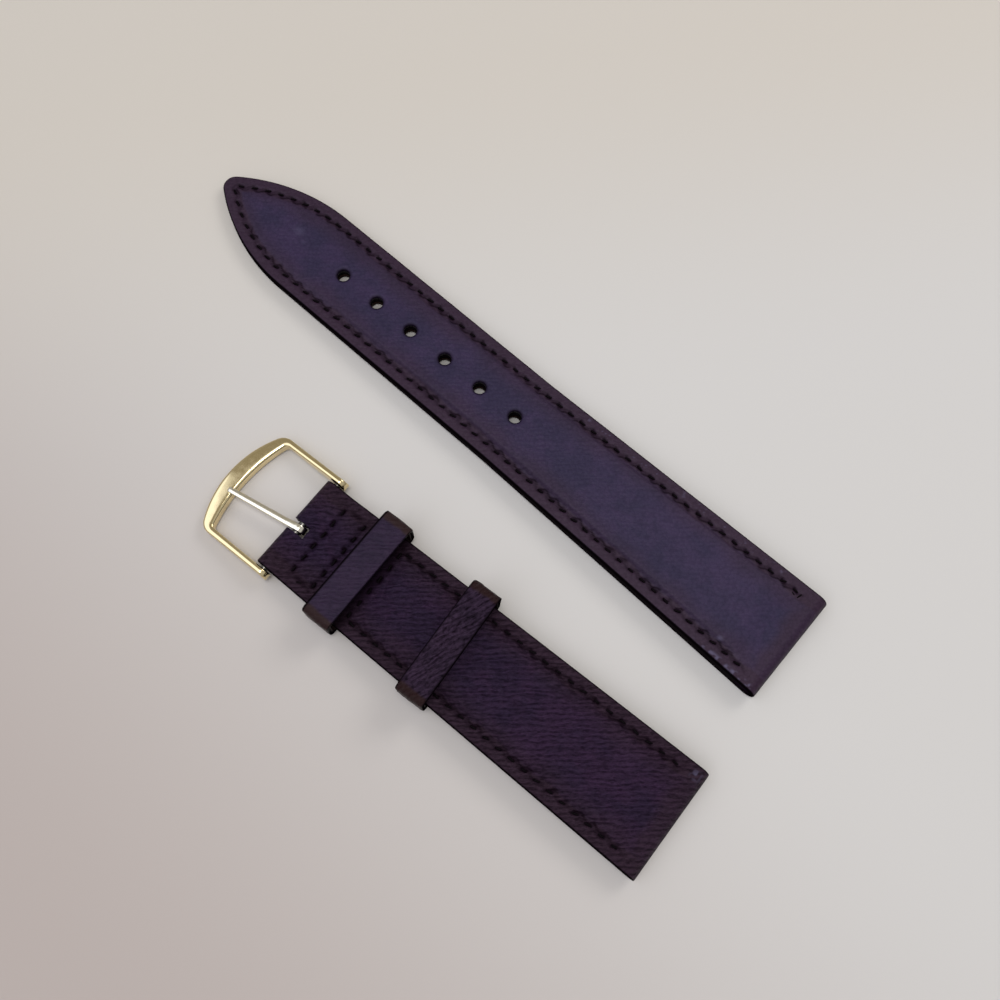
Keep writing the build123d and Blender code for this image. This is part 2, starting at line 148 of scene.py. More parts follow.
def wander(x, y, cell, seed):
    """Seeded value noise from -1 to 1: random heights on a grid of cell mm, joined by cubic steps."""
    n = NOISE_CELLS
    table = np.random.default_rng(seed).uniform(-1, 1, (n, n))
    u, v = x / cell + 500, y / cell + 500
    i, j = np.floor(u).astype(int), np.floor(v).astype(int)
    a, b = step(0, 1, u - i), step(0, 1, v - j)
    low, high = [table[i % n, k % n] * (1 - a) + table[(i + 1) % n, k % n] * a for k in (j, j + 1)]
    return low * (1 - b) + high * b


class SideArc:
    """The upper arc of a circle in the side view: z = cz + sqrt(r^2 - (x - cx)^2)."""

    def __init__(self, cx, cz, radius):
        self.cx, self.cz, self.radius = cx, cz, radius

    def __call__(self, x):
        """Height of the arc at x."""
        return self.cz + np.sqrt(self.radius**2 - (x - self.cx) ** 2)

    def raised(self, height):
        """The concentric arc that lies height above this one."""
        return SideArc(self.cx, self.cz, self.radius + height)

    def thickened(self, stations):
        """The arc through the points that lie the given (x, thickness) above this one."""
        (x1, z1), (x2, z2), (x3, z3) = [(x, float(self(x)) + t) for x, t in stations]
        d = 2 * (x1 * (z2 - z3) + x2 * (z3 - z1) + x3 * (z1 - z2))
        q1, q2, q3 = x1**2 + z1**2, x2**2 + z2**2, x3**2 + z3**2
        cx = (q1 * (z2 - z3) + q2 * (z3 - z1) + q3 * (z1 - z2)) / d
        cz = (q1 * (x3 - x2) + q2 * (x1 - x3) + q3 * (x2 - x1)) / d
        return SideArc(cx, cz, math.hypot(x1 - cx, z1 - cz))


class Half:
    """The layers of one half in the side view: underside, lining, filler, margin and padding."""

    def __init__(self, arch_radius, span, filler, pad):
        rise = math.sqrt(arch_radius**2 - (span / 2) ** 2)
        self.base = SideArc(span / 2, FLOOR_Z - rise, arch_radius)
        self.lining_top = self.base.raised(LINING)
        self.filler_top = self.lining_top.thickened(filler)
        self.margin_top = self.filler_top.raised(TOP_LEATHER)
        self.pad_top = self.filler_top.thickened(pad)

    def swell(self, x):
        """How far the padding lifts the leather: the pad arc less the filler arc."""
        return self.pad_top(x) - self.filler_top(x)

    def loop_rise(self, x):
        """How far the leather climbs over a buckle's bar: nowhere on a half without one."""
        return 0 * x


class BuckleHalf(Half):
    """The half that carries the buckle: straight flanks that taper in two stages."""

    seam_length = CROSS_SEAMS[0] - STITCH_START
    pitch = seam_length / 22

    def width(self, x):
        """Half the width: 9 at the lug, 8.1 at 58.25, 7.9 at the front of the loop."""
        return np.interp(x, (-NOSE_RADIUS, 58.25, LOOP_X + LOOP_RADIUS), (HALF_LUG_WIDTH, 8.1, 7.9))

    def border(self, x, y):
        """Distance inwards from the plan outline, and length along its edge from the lug."""
        return self.width(x) - np.abs(y), x

    def outline(self, x):
        """Plan points of the edge at x, and the direction inwards."""
        return x, self.width(x), np.zeros_like(x), -np.ones_like(x)

    def cross_pitch(self, seam_x):
        """Pitch of a seam across the strap, which has six stitches."""
        return (self.width(seam_x) - CROSS_SEAM_EDGE) / 3

    def pad_mask(self, x, edge):
        """1 over the padding, fading across its margin and at both of its ends."""
        return step(2.3, 3.3, edge) * step(1.5, 7.0, x) * (1 - step(49.2, 51.3, x))

    def loop_rise(self, x):
        """How the leather climbs from behind the front seam to the top of the loop round the bar."""
        top = LOOP_Z_ABOVE_BASE + LOOP_RADIUS - float(self.margin_top(LOOP_X) - self.base(LOOP_X))
        return top * step(63.1, 66.3, x)

    def relief(self, x, y):
        """Height of the grain side over the margin arc: padding, seam grooves, puckers and creases."""
        edge, along = self.border(x, y)
        rise = self.swell(x) * self.pad_mask(x, edge) + self.loop_rise(x)
        sewn = step(1.2, 2.2, x) * (1 - step(52.1, 52.6, x))
        rise = rise - sewn * groove(edge - STITCH_MARGIN, along - STITCH_START, self.pitch)
        rise = rise - 0.05 * bell(edge - 2.4, 0.45) * step(2, 5, x) * (1 - step(49, 51, x))
        inside = step(0.9, 1.5, edge)
        for seam_x in CROSS_SEAMS:
            pitch = self.cross_pitch(seam_x)
            rise = rise - inside * groove(x - seam_x, y + 3 * pitch, pitch)
        box = step(59.0, 60.2, x) * (1 - step(61.6, 62.8, x)) * step(1.2, 3.0, edge)
        rise = rise + 0.2 * box
        along_fold, across_fold = x * 0.78 + y * 0.62, y * 0.78 - x * 0.62
        crease = wander(along_fold * 0.4, across_fold, 0.8, 11) * 0.6 + wander(x, y, 0.85, 12) * 0.4
        strength = 0.02 + 0.05 * step(44, 60, x)
        near_keeper = bell(x - FIXED_KEEPER_X, 7.5)
        rise = rise + strength * crease + 0.04 * near_keeper * wander(x * 0.5, y, 1.4, 13)
        return rise + 0.035 * wander(x, y, 6.0, 14)

    def wear(self, x, y, pits):
        """Dark marks of the cross seams, a painted shadow beside the fixed keeper, pale specks at a lug
        corner.
        """
        edge = self.border(x, y)[0]
        pits = pits * (1 - step(51.9, 52.3, x))
        for seam_x in CROSS_SEAMS:
            pitch = self.cross_pitch(seam_x)
            needle = 0.35 + 0.65 * step(0.25, 0.7, stitch_phase(y + 3 * pitch, pitch))
            dots = bell(x - seam_x - 0.2 * wander(x, y, 0.7, 56), 0.75) * needle
            pits = np.maximum(pits, 1.2 * dots * step(0.9, 1.4, edge))
        sides = bell(edge - CROSS_SEAM_EDGE - 0.3, 0.7) * bell(x - BOX_MIDDLE, 2.3)
        pits = np.maximum(pits, 0.9 * sides)
        # Painted shadow: the leather on both sides of the fixed keeper is darkened as if the keeper
        # shaded it.
        pits = np.maximum(pits, 0.85 * (1 - step(2.3, 3.9, np.abs(x - FIXED_KEEPER_X))))
        corner = bell(x + 0.1, 1.3) * bell(y + 7.6, 1.3)
        return pits, 0.5 * corner * step(0, 0.5, wander(x, y, 0.4, 55))


class HoleHalf(Half):
    """The half with the punched holes: parallel flanks that close in a pointed arch."""

    flank_y = FLANK_HALF_WIDTH - OGIVE_RADIUS
    nose_x = OGIVE_X + math.sqrt((OGIVE_RADIUS - TIP_RADIUS) ** 2 - flank_y**2)
    join = math.atan2(-flank_y, nose_x - OGIVE_X)
    tip_x = nose_x + TIP_RADIUS
    arch_length = OGIVE_RADIUS * (math.pi / 2 - join)
    tip_length = OGIVE_X + arch_length + TIP_RADIUS * join
    seam_arch, seam_tip = OGIVE_RADIUS - STITCH_MARGIN, TIP_RADIUS - STITCH_MARGIN
    seam_length = OGIVE_X - STITCH_START + seam_arch * (math.pi / 2 - join) + seam_tip * join
    pitch = seam_length / 50

    def width(self, x):
        """Half the width of the parallel part: 9 at the lug, 7.85 from 51.25 on."""
        return np.interp(x, (-NOSE_RADIUS, 51.25), (HALF_LUG_WIDTH, FLANK_HALF_WIDTH))

    def border(self, x, y):
        """Distance inwards from the outline, and length along the seam line from the lug."""
        y = np.abs(y)
        turn = np.arctan2(y - self.flank_y, x - OGIVE_X)
        around = np.arctan2(y, x - self.nose_x)
        arch = x > OGIVE_X
        nose = arch & (turn < self.join)
        from_arch = OGIVE_RADIUS - np.hypot(x - OGIVE_X, y - self.flank_y)
        edge = np.where(arch, from_arch, self.width(x) - y)
        edge = np.where(nose, TIP_RADIUS - np.hypot(x - self.nose_x, y), edge)
        along = np.where(arch, OGIVE_X + self.seam_arch * (math.pi / 2 - turn), x)
        corner = OGIVE_X + self.seam_arch * (math.pi / 2 - self.join)
        along = np.where(nose, corner + self.seam_tip * (self.join - around), along)
        return edge, along

    def outline(self, reach):
        """Plan points of the edge at a length from the lug, and the direction inwards."""
        turn = np.clip(math.pi / 2 - (reach - OGIVE_X) / OGIVE_RADIUS, self.join, math.pi / 2)
        around = np.clip(self.join - (reach - OGIVE_X - self.arch_length) / TIP_RADIUS, 0, self.join)
        flank, nose = reach < OGIVE_X, reach > OGIVE_X + self.arch_length
        angle = np.where(nose, around, turn)
        radius = np.where(nose, TIP_RADIUS, OGIVE_RADIUS)
        x = np.where(nose, self.nose_x, OGIVE_X) + radius * np.cos(angle)
        y = np.where(nose, 0, self.flank_y) + radius * np.sin(angle)
        x, y = np.where(flank, reach, x), np.where(flank, self.width(reach), y)
        nx, ny = np.where(flank, 0, -np.cos(angle)), np.where(flank, -1, -np.sin(angle))
        return x, y, nx, ny

    def thinned(self, x):
        """What is left of the padding's lift: all of it, falling to 0.45 towards the tip."""
        return 1 - 0.55 * step(70, 108, x)

    def pad_mask(self, x, edge):
        """1 over the padding, fading across its margin, at the lug and towards the tip."""
        return step(2.3, 3.2, edge) * step(1.5, 7.0, x) * self.thinned(x)

    def relief(self, x, y):
        """Height of the grain side over the margin arc: padding, seam groove, hole rims, soft waves."""
        edge, along = self.border(x, y)
        rise = self.swell(x) * self.pad_mask(x, edge)
        rise = rise - step(1.2, 2.2, x) * groove(edge - STITCH_MARGIN, along - STITCH_START, self.pitch)
        rise = rise - 0.045 * bell(edge - 2.4, 0.4) * step(2, 6, x)
        rise = rise - 0.16 * (1 - step(-0.1, 0.55, hole_rim(x, y)))
        rise = rise + 0.012 * wander(x, y * 0.6, 1.6, 21) + 0.03 * wander(x, y, 7.0, 22)
        return rise + 0.01 * wander(x * 0.5, y, 2.8, 23)

    def wear(self, x, y, pits):
        """Dark rims of the holes, pale places, painted highlights on the edge beside the lug, and rare
        pale specks at one edge.
        """
        edge = self.border(x, y)[0]
        pits = np.maximum(pits, 0.9 * (1 - step(0.0, 0.4, hole_rim(x, y))))
        scuff = 0 * x
        for cx, cy, reach, share in PALE_PLACES:
            scuff = np.maximum(scuff, share * bell(np.hypot(x - cx, (y - cy) * 1.3), reach))
        # Painted highlights: pale glints on the rounded lower edge beside the lug.
        painted_glints = 0.6 * step(0.15, 0.5, wander(x, y, 0.42, 53)) * bell(edge - 0.45, 0.6)
        scuff = np.maximum(scuff, painted_glints * (y > 0) * step(-1.2, 0, x) * (1 - step(7, 11, x)))
        rare = step(0.55, 0.8, wander(x, y, 0.3, 54)) * bell(edge - 0.8, 0.7) * (y < 0)
        return pits, np.maximum(scuff, 0.35 * rare * step(4, 6, x) * (1 - step(40, 50, x)))


def hole_rim(x, y):
    """Distance outwards from the rim of the nearest punched hole."""
    return np.min([np.hypot(x - hole_x, y) for hole_x in HOLES], axis=0) - HOLE_RADIUS


def stitch_phase(along, pitch):
    """0 between two stitches and 1 at the middle of each: half of 1 - cos(2 pi along / pitch)."""
    return 0.5 - 0.5 * np.cos(2 * math.pi * along / pitch)


def groove(off, along, pitch):
    """Depth of a seam: a shallow channel with a pit under each stitch, and puckers between them.

    The stitches are centred half a pitch from the start, where cos(2 pi along / pitch) is -1.
    """
    phase = stitch_phase(along, pitch)
    channel = 0.05 * bell(off, 0.6)
    pit = 0.2 * bell(off, 0.5) * step(0.3, 0.9, phase)
    pucker = 0.04 * bell(np.abs(off) - 0.55, 0.45) * phase
    return channel + pit - pucker


# Radius of the underside's arch, its span, and the thickness of filler and padding at three places
buckle_half = BuckleHalf(
    650.0, 80.0,
    [(0, 1.85), (35.0, 0.6), (LOOP_X, 0.25)],
    [(4.0, 0.35), (27.0, 0.5), (50.0, 0.4)],
)
hole_half = HoleHalf(
    6000.0, HoleHalf.tip_x,
    [(0, 1.85), (55.0, 0.9), (HoleHalf.tip_x, 0.15)],
    [(4.0, 0.35), (45.0, 0.5), (105.0, 0.3)],
)
LOOP_Z = float(buckle_half.base(LOOP_X)) + LOOP_Z_ABOVE_BASE


def in_place(points, place):
    """Turns points about Z by the place's angle in degrees, then moves them to its x and y."""
    x, y, turn = place
    c, s = math.cos(math.radians(turn)), math.sin(math.radians(turn))
    turned = points @ np.array([[c, s, 0], [-s, c, 0], [0, 0, 1]])
    return turned + np.array([x, y, 0])


def tipped(points, angle, place):
    """Turns points about Y, so that +X goes down, then moves them to a place."""
    c, s = math.cos(angle), math.sin(angle)
    return points @ np.array([[c, 0, -s], [0, 1, 0], [s, 0, c]]) + np.array(place)


def arc(turn, radius, cx=0.0, cy=0.0):
    """Plan points on a circle at the given angles."""
    return np.stack([cx + radius * np.cos(turn), cy + radius * np.sin(turn)], 1)


def full_turn(count):
    """Angles of even steps once round."""
    return np.linspace(0, 2 * math.pi, count, endpoint=False)


def swollen(value, power):
    """A sine or cosine to a power, its sign kept, which makes a circle a superellipse."""
    return np.sign(value) * np.abs(value) ** power


def lengths(path):
    """How far along a plan path each of its points lies."""
    return np.concatenate([[0], np.cumsum(np.hypot(*np.diff(path, axis=0).T))])


def at_lengths(path, at):
    """The two coordinates of a plan path at the given lengths along it."""
    length = lengths(path)
    return [np.interp(at, length, path[:, k]) for k in (0, 1)]


def points_of(x, y, z):
    """One list of points from three grids, each of them spread over the size of the largest."""
    return np.stack(np.broadcast_arrays(x, y, z), -1).reshape(-1, 3)


def new_object(name, data):
    """An object with the given data, in the scene."""
    made = bpy.data.objects.new(name, data)
    bpy.context.scene.collection.objects.link(made)
    return made


def mesh_object(name, points, faces, smooth_angle=40):
    """A mesh object from points in mm: coincident ones merged, faces outwards, creases kept sharp."""
    mesh = bpy.data.meshes.new(name)
    mesh.from_pydata((points * MM).tolist(), [], faces)
    shell = bmesh.new()
    shell.from_mesh(mesh)
    bmesh.ops.remove_doubles(shell, verts=shell.verts, dist=2e-6)
    bmesh.ops.dissolve_degenerate(shell, edges=shell.edges, dist=1e-7)
    bmesh.ops.recalc_face_normals(shell, faces=shell.faces)
    if shell.calc_volume(signed=True) < 0:
        bmesh.ops.reverse_faces(shell, faces=shell.faces)
    shell.to_mesh(mesh)
    shell.free()
    mesh.shade_smooth()
    mesh.set_sharp_from_angle(angle=math.radians(smooth_angle))
    return new_object(name, mesh)


def tube_faces(rows, columns, rows_closed=False, caps=True):
    """Quads of a skin through rows of closed loops, with a face over each open end."""
    i = np.arange(rows if rows_closed else rows - 1)[:, None]
    j = np.arange(columns)[None, :]
    a, b = i * columns, ((i + 1) % rows) * columns
    right = (j + 1) % columns
    quads = np.stack([a + j, a + right, b + right, b + j], axis=-1).reshape(-1, 4).tolist()
    if caps and not rows_closed:
        quads.append(list(range(columns))[::-1])
        quads.append([(rows - 1) * columns + k for k in range(columns)])
    return quads


def strap_columns(top_step):
    """Columns of a strap's cross-section loop, as (side, inset, share of the way to the middle, depth).

    The loop crosses the outer face from -Y to +Y, goes down the +Y wall, back across the inner
    face and up the other wall. Insets near the edge follow a quarter circle.
    """
    quarter = EDGE_ROUND * (1 - np.cos(np.linspace(0, math.pi / 2, 6)))
    fine = np.concatenate([quarter, np.arange(EDGE_ROUND + top_step, BORDER, top_step), [BORDER]])
    middle = np.linspace(0, 1, round(4.8 / top_step) + 1)[1:-1]
    outer = [(-1, a, 0, 0) for a in fine] + [(-1, BORDER, g, 0) for g in middle] + [(1, BORDER, 1, 0)]
    outer += [(1, BORDER, g, 0) for g in middle[::-1]] + [(1, a, 0, 0) for a in fine[::-1]]
    wall = [(1, 0, 0, d) for d in (0.35, 0.7)]
    inner = [(1, 0, 0, 1), (1, 1.0, 0, 1), (1, 2.3, 0, 1), (1, BORDER, 0, 1), (1, BORDER, 0.5, 1)]
    other = [(-1, a, g, d) for _, a, g, d in inner[::-1]]
    back = [(-1, 0, 0, d) for d in (0.7, 0.35)]
    return np.array(outer + wall + inner + [(1, BORDER, 1, 1)] + other + back, float)


def plan_grid(half, rows, columns):
    """Plan x and y of every row and column: inset along the inward direction, then to the middle.

    Where the middle is nearer than the border, at the pointed tip, the insets shrink with it.
    """
    x, y, nx, ny = [v[:, None] for v in half.outline(rows)]
    side, inset, share, _ = columns.T
    inset = inset * np.minimum(1, NARROW_SHARE * to_middle(y, ny) / BORDER)
    return x + inset * nx, side * (y + inset * ny) * (1 - share)


def to_middle(y, ny):
    """Distance from a point of the edge to the middle line along the inward direction."""
    return np.where(ny < -0.001, y / -np.minimum(ny, -0.001), TIP_RADIUS)


def edge_drop(edge):
    """How far the face falls in the quarter circle of its rounded edge."""
    left = np.clip(EDGE_ROUND - edge, 0, EDGE_ROUND)
    return EDGE_ROUND - np.sqrt(EDGE_ROUND**2 - left**2)


def side_rows(reach, height, out_x, out_z, wall, top):
    """Side-view rows as a table, where one number stands for the same value in every row."""
    return np.stack(np.broadcast_arrays(reach, height, out_x, out_z, wall, top), 1)


def leather_rows(half, reaches):
    """Side-view rows of a turned leather: along the fold, round the lug tunnel and over the top.

    Each row has a length along the plan edge, a height, an outward direction, a wall thickness and
    a flag for the rows of the top face, whose height follows the margin arc point by point.
    """
    fold = np.arange(FOLDBACK, 0, -0.4)
    turn = np.radians(np.arange(-90, -270, -6.0))
    c, s = np.cos(turn), np.sin(turn)
    return np.concatenate([
        side_rows(fold, half.base(fold), 0, -1, LINING, 0),
        side_rows(NOSE_RADIUS * c, NOSE_RADIUS * s, c, s, NOSE_WALL, 0),
        side_rows(reaches, 0, 0, 1, TOP_LEATHER, 1),
    ])


def leather_skin(name, half, rows, columns, place=ROW_PLACE):
    """A sheet of leather swept along its rows: outer face, rounded edges, walls and inner face.

    A point is the row's side-view place moved outwards by (1 - depth) times the outer relief and
    depth times the inner one, which is the padding's lift less the leather's thickness.
    """
    reach, height, ux, uz, wall, top = [v[:, None] for v in rows.T]
    x, y = plan_grid(half, rows[:, 0], columns)
    edge, along = half.border(x, y)
    on_top = np.where(x < 0, 0, top)
    height = np.where(top > 0, half.margin_top(np.maximum(x, 0)), height)
    lift = (half.swell(x) * half.pad_mask(x, edge) + half.loop_rise(x)) * on_top
    rough = 0.012 * wander(reach + 40 * uz, y, 1.3, 31)
    outer = np.where(on_top > 0, half.relief(x, y), rough) - edge_drop(edge)
    depth = columns[:, 3]
    out = (1 - depth) * outer + depth * (lift - wall)
    points = points_of(x + ux * out, y, height + uz * out)
    return mesh_object(name, in_place(points, place), tube_faces(len(rows), len(columns)))


def slab(name, half, reaches, low, high, place=ROW_PLACE, inset=0.0, dome=0.0, rounded=0.0,
         border=BORDER):
    """A flat layer between two side arcs, cut to the plan outline.

    It is inset from the outline, domed by sinking its upper face at the border, and its lower
    edge is rounded where that is asked for.
    """
    quarter = EDGE_ROUND * (1 - np.cos(np.linspace(0, math.pi / 2, 5)))
    insets = np.concatenate([quarter, border * np.array([0.4, 0.7, 1])])
    low_side, high_side = [
        [(1, a, 0, d) for a in insets] + [(1, border, 0.5, d)] for d in (0, 1)
    ]
    right = low_side[::-1] + [(1, 0, 0, 0.6)] + high_side
    left = [(-s, a, g, d) for s, a, g, d in right[::-1]]
    columns = np.array([(1, border, 1, 0)] + right + [(1, border, 1, 1)] + left, float)
    x, y, nx, ny = [v[:, None] for v in half.outline(reaches)]
    side, a, share, depth = columns.T
    a = inset + a * np.minimum(1, NARROW_SHARE * (to_middle(y, ny) - inset) / border)
    px, py = x + a * nx, side * np.maximum(y + a * ny, 0) * (1 - share)
    edge = half.border(px, py)[0] - inset
    top = high(px) - dome * (1 - step(0, 1.0, edge))
    bottom = low(px) + rounded * edge_drop(np.maximum(edge, 0))
    points = points_of(px, py, bottom + (top - bottom) * depth)
    return mesh_object(name, in_place(points, place), tube_faces(len(reaches), len(columns)))


def cut(piece, cutters):
    """Takes the cutters out of the piece with an exact boolean, and applies it."""
    for cutter in cutters:
        modifier = piece.modifiers.new("cut", "BOOLEAN")
        modifier.object = cutter
        modifier.operation = "DIFFERENCE"
        modifier.solver = "EXACT"
    depsgraph = bpy.context.evaluated_depsgraph_get()
    cleaned = bpy.data.meshes.new_from_object(piece.evaluated_get(depsgraph))
    piece.modifiers.clear()
    piece.data = cleaned
    for cutter in cutters:
        bpy.data.objects.remove(cutter)


def prism_cutter(outline, place=ROW_PLACE):
    """A closed prism over a plan outline, from well below the strap to well above it."""
    outline = np.asarray(outline, float)
    count = len(outline)
    points = np.concatenate([np.c_[outline, np.full(count, z)] for z in (-CUT_REACH, CUT_REACH)])
    return mesh_object("cutter", in_place(points, place), tube_faces(2, count))


def hole_cutters():
    """Round cutters for the six tang holes."""
    ring = arc(full_turn(HOLE_SIDES) + 0.05, HOLE_RADIUS)
    return [prism_cutter(ring + (x, 0), HOLE_HALF_PLACE) for x in HOLES]


def pointed_reaches(start, flank_count, end, arch_count):
    """Lengths along the hole half's edge: even along the flank, and even again round the arch."""
    flank = np.linspace(start, OGIVE_X, flank_count)[:-1]
    return np.concatenate([flank, np.linspace(OGIVE_X, end, arch_count)])


# The buckle half's leather goes on round the bar and back under the strap as the flap
loop_turn = np.radians(np.arange(90, -90, -6.0))
flap_x = np.append(np.arange(LOOP_X, FLAP_END - 0.01, -0.3), FLAP_END)
pocket = bell(np.maximum(np.abs(flap_x - FIXED_KEEPER_X) - 2.42, 0), 0.75)
flap_z = buckle_half.base(flap_x) - (KEEPER_WALL + 0.02) * pocket
top_reaches = np.concatenate([[0.0, 0.1], np.arange(0.3, LOOP_X, 0.2)])
loop_c, loop_s = np.cos(loop_turn), np.sin(loop_turn)
columns = strap_columns(0.2)
short_rows = np.concatenate([
    leather_rows(buckle_half, top_reaches),
    side_rows(LOOP_X + LOOP_RADIUS * loop_c, LOOP_Z + LOOP_RADIUS * loop_s, loop_c, loop_s,
              LOOP_WALL, 0),
    side_rows(flap_x, flap_z, 0, -1, LINING - 0.02 * pocket, 0),
])
short_leather = leather_skin("short_leather", buckle_half, short_rows, columns)
slot_plan = [
    (SLOT_REAR, SLOT_LOW), (SLOT_FRONT, SLOT_LOW), (SLOT_FRONT, SLOT_HIGH), (SLOT_REAR, SLOT_HIGH),
]
cut(short_leather, [prism_cutter(slot_plan)])

short_lining = slab("short_lining_leather", buckle_half, np.linspace(FOLDBACK, FLAP_END, 90),
                    buckle_half.base, buckle_half.lining_top, rounded=1.0)
short_core = slab("short_core", buckle_half, np.linspace(NOSE_RADIUS, 64.7, 120),
                  buckle_half.lining_top, buckle_half.filler_top)

tip_length = HoleHalf.tip_length
long_reaches = np.concatenate([
    [0.0, 0.1], np.arange(0.3, OGIVE_X, 0.21), np.linspace(OGIVE_X, tip_length, 110),
])
long_leather = leather_skin(
    "long_leather", hole_half, leather_rows(hole_half, long_reaches), columns, HOLE_HALF_PLACE
)
long_lining = slab("long_lining_leather", hole_half, pointed_reaches(FOLDBACK, 120, tip_length, 60),
                   hole_half.base, hole_half.lining_top, HOLE_HALF_PLACE, rounded=1.0)
long_core = slab("long_core", hole_half, pointed_reaches(NOSE_RADIUS, 120, tip_length, 60),
                 hole_half.lining_top, hole_half.filler_top, HOLE_HALF_PLACE)
for layer in (long_leather, long_lining, long_core):
    cut(layer, hole_cutters())


def seam_places(half, low):
    """Centres and directions of the stitches along both edges, on the top or on the underside.

    The seam line is the outline moved inwards by the stitch margin, cut into equal stitches.
    """
    setback = UNDER_SETBACK if low else 0
    along = STITCH_START + setback + half.pitch * (np.arange(60) + 0.5)
    along = along[along < STITCH_START + half.seam_length - setback]
    longest = 130 if half is hole_half else 60
    reach = np.linspace(0, longest, 40 * longest + 1)
    x, y, nx, ny = half.outline(reach)
    sx, sy = x + STITCH_MARGIN * nx, y + STITCH_MARGIN * ny
    length = half.border(sx, sy)[1]
    px, py = np.interp(along, length, sx), np.interp(along, length, sy)
    dx, dy = np.interp(along + 0.1, length, sx) - px, np.interp(along + 0.1, length, sy) - py
    turn = np.arctan2(dy, dx)
    return np.concatenate([np.stack([px, py, turn], 1), np.stack([px, -py, -turn], 1)])


def cross_places():
    """The stitches of the three cross seams, and the one at each side between the last two."""
    rows = []
    for x in CROSS_SEAMS:
        reach = float(buckle_half.width(x)) - CROSS_SEAM_EDGE
        rows += [(x, reach * ((2 * k + 1) / 6 - 1), math.pi / 2) for k in range(6)]
    reach = float(buckle_half.width(BOX_MIDDLE)) - CROSS_SEAM_EDGE
    return np.array(rows + [(BOX_MIDDLE, reach, 0.2), (BOX_MIDDLE, -reach, -0.2)])


def sew(name, half, places, low=False, place=ROW_PLACE, seed=1):
    """Threads at the given x, y and direction: six-sided strands that sit low in their pits.

    Along a strand u runs from -1 to 1, its centre line is at height 0.06 - 0.2 |u|^3 and its
    thickness falls as sqrt(1 - (0.85 u)^2). Each is a little slanted, longer or shorter by chance.
    """
    chance = np.random.default_rng(seed)
    count = len(places)
    u = np.linspace(-1, 1, STRAND_RINGS)[None, :, None]
    turn = (np.arange(STRAND_SIDES) * math.pi / 3)[None, None, :]
    body = np.sqrt(1 - (0.85 * u) ** 2)
    flat = UNDERSIDE_FLATNESS if low else 1.0
    half_length = (0.3 * half.pitch * chance.uniform(0.8, 1.2, count))[:, None, None]
    x, y = half_length * u, THREAD_HALF_WIDTH * body * np.cos(turn)
    z = flat * (THREAD_HALF_HEIGHT * body * np.sin(turn) + 0.06 - 0.2 * np.abs(u) ** 3)
    slant = places[:, 2] + np.radians(8 + chance.normal(0, 8.0, count))
    c, s, at_x, at_y = [v[:, None, None] for v in (np.cos(slant), np.sin(slant), *places.T[:2])]
    px, py = at_x + c * x - s * y, at_y + s * x + c * y
    if low:
        pz = half.base(px) - z
    else:
        pad = np.minimum(half.swell(px) * half.pad_mask(px, half.border(px, py)[0]), 0.1)
        pz = half.margin_top(px) + pad + half.loop_rise(px) + z - THREAD_SEAT
    points = points_of(px, py, pz)
    strand, size = tube_faces(STRAND_RINGS, STRAND_SIDES), STRAND_RINGS * STRAND_SIDES
    faces = [[v + size * k for v in face] for k in range(count) for face in strand]
    return mesh_object(name, in_place(points, place), faces, 80)


def ring_path(half_width, height, corner, step_length=0.16):
    """A rounded rectangle standing on z = 0: points and outward directions at an even spacing."""
    runs = []
    for cy, cz, start in (
        (half_width - corner, height - corner, 0), (corner - half_width, height - corner, 90),
        (corner - half_width, corner, 180), (half_width - corner, corner, 270),
    ):
        runs.append(arc(np.radians(np.linspace(start, start + 90, 13)), corner, cy, cz))
    loop = np.concatenate(runs + [runs[0][:1]])
    around = lengths(loop)[-1]
    y, z = at_lengths(loop, np.linspace(0, around, round(around / step_length), endpoint=False))
    dy, dz = np.roll(y, -1) - np.roll(y, 1), np.roll(z, -1) - np.roll(z, 1)
    size = np.hypot(dy, dz)
    return y, z, dz / size, -dy / size


def keeper_band(name, at_x, at_z, skew, half_width, height, outside, thickness, trim, seed,
                wrinkle=0.02):
    """A leather ring round the strap: a strip carried round a rounded rectangle.

    Across the strip the outer face is crowned by its square, folded and wrinkled by two seeded
    noises, and falls in a quarter circle at both edges; the inner face lies one thickness inside.
    """
    y, z, ny, nz = [v[:, None] for v in ring_path(half_width, height, KEEPER_CORNER)]
    reach = KEEPER_LENGTH / 2 - trim
    radius = min(0.32, 0.45 * thickness)
    quarter = radius * (1 - np.cos(np.linspace(0, math.pi / 2, 6)))
    left = -reach + np.concatenate([quarter, np.arange(radius + 0.2, reach, 0.2)])
    across = np.concatenate([left, [0.0], -left[::-1]])
    inner = np.array([reach, reach, reach * 0.5, 0, -reach * 0.5, -reach, -reach])
    x = np.concatenate([across, inner])[None, :]
    depth = np.concatenate([0 * across, [0.5, 1, 1, 1, 1, 1, 0.5]])[None, :]
    left_over = np.clip(radius - (reach - np.abs(x)), 0, radius)
    drop = radius - np.sqrt(radius**2 - left_over**2) + 0.05 * (x / reach) ** 2
    fold = 0.05 * wander(x, y * 0.5 + z, 1.5, seed) + wrinkle * wander(x, y * 0.45 + z, 0.6, seed + 1)
    out = (1 - depth) * (fold - drop - 0.01 - wrinkle) - depth * thickness - outside
    ring = points_of(x, y + ny * out, z + nz * out)
    faces = tube_faces(len(y), x.shape[1], rows_closed=True)
    base = buckle_half.base
    lean = math.atan2(at_x - base.cx, at_z - base.cz)
    ring = tipped(in_place(ring, (0, 0, skew)), lean, (at_x, 0, at_z))
    return mesh_object(name, ring, faces)


def buckle_place(points):
    """From the buckle's own frame to the row frame: tipped until its rim rests, then set on the bar."""
    corner = (RIM_OUTER, RIM_HALF)
    tilt = math.asin((LOOP_Z - FLOOR_Z) / math.hypot(*corner)) - math.atan2(corner[1], corner[0])
    return tipped(points, tilt, (LOOP_X, 0, LOOP_Z))


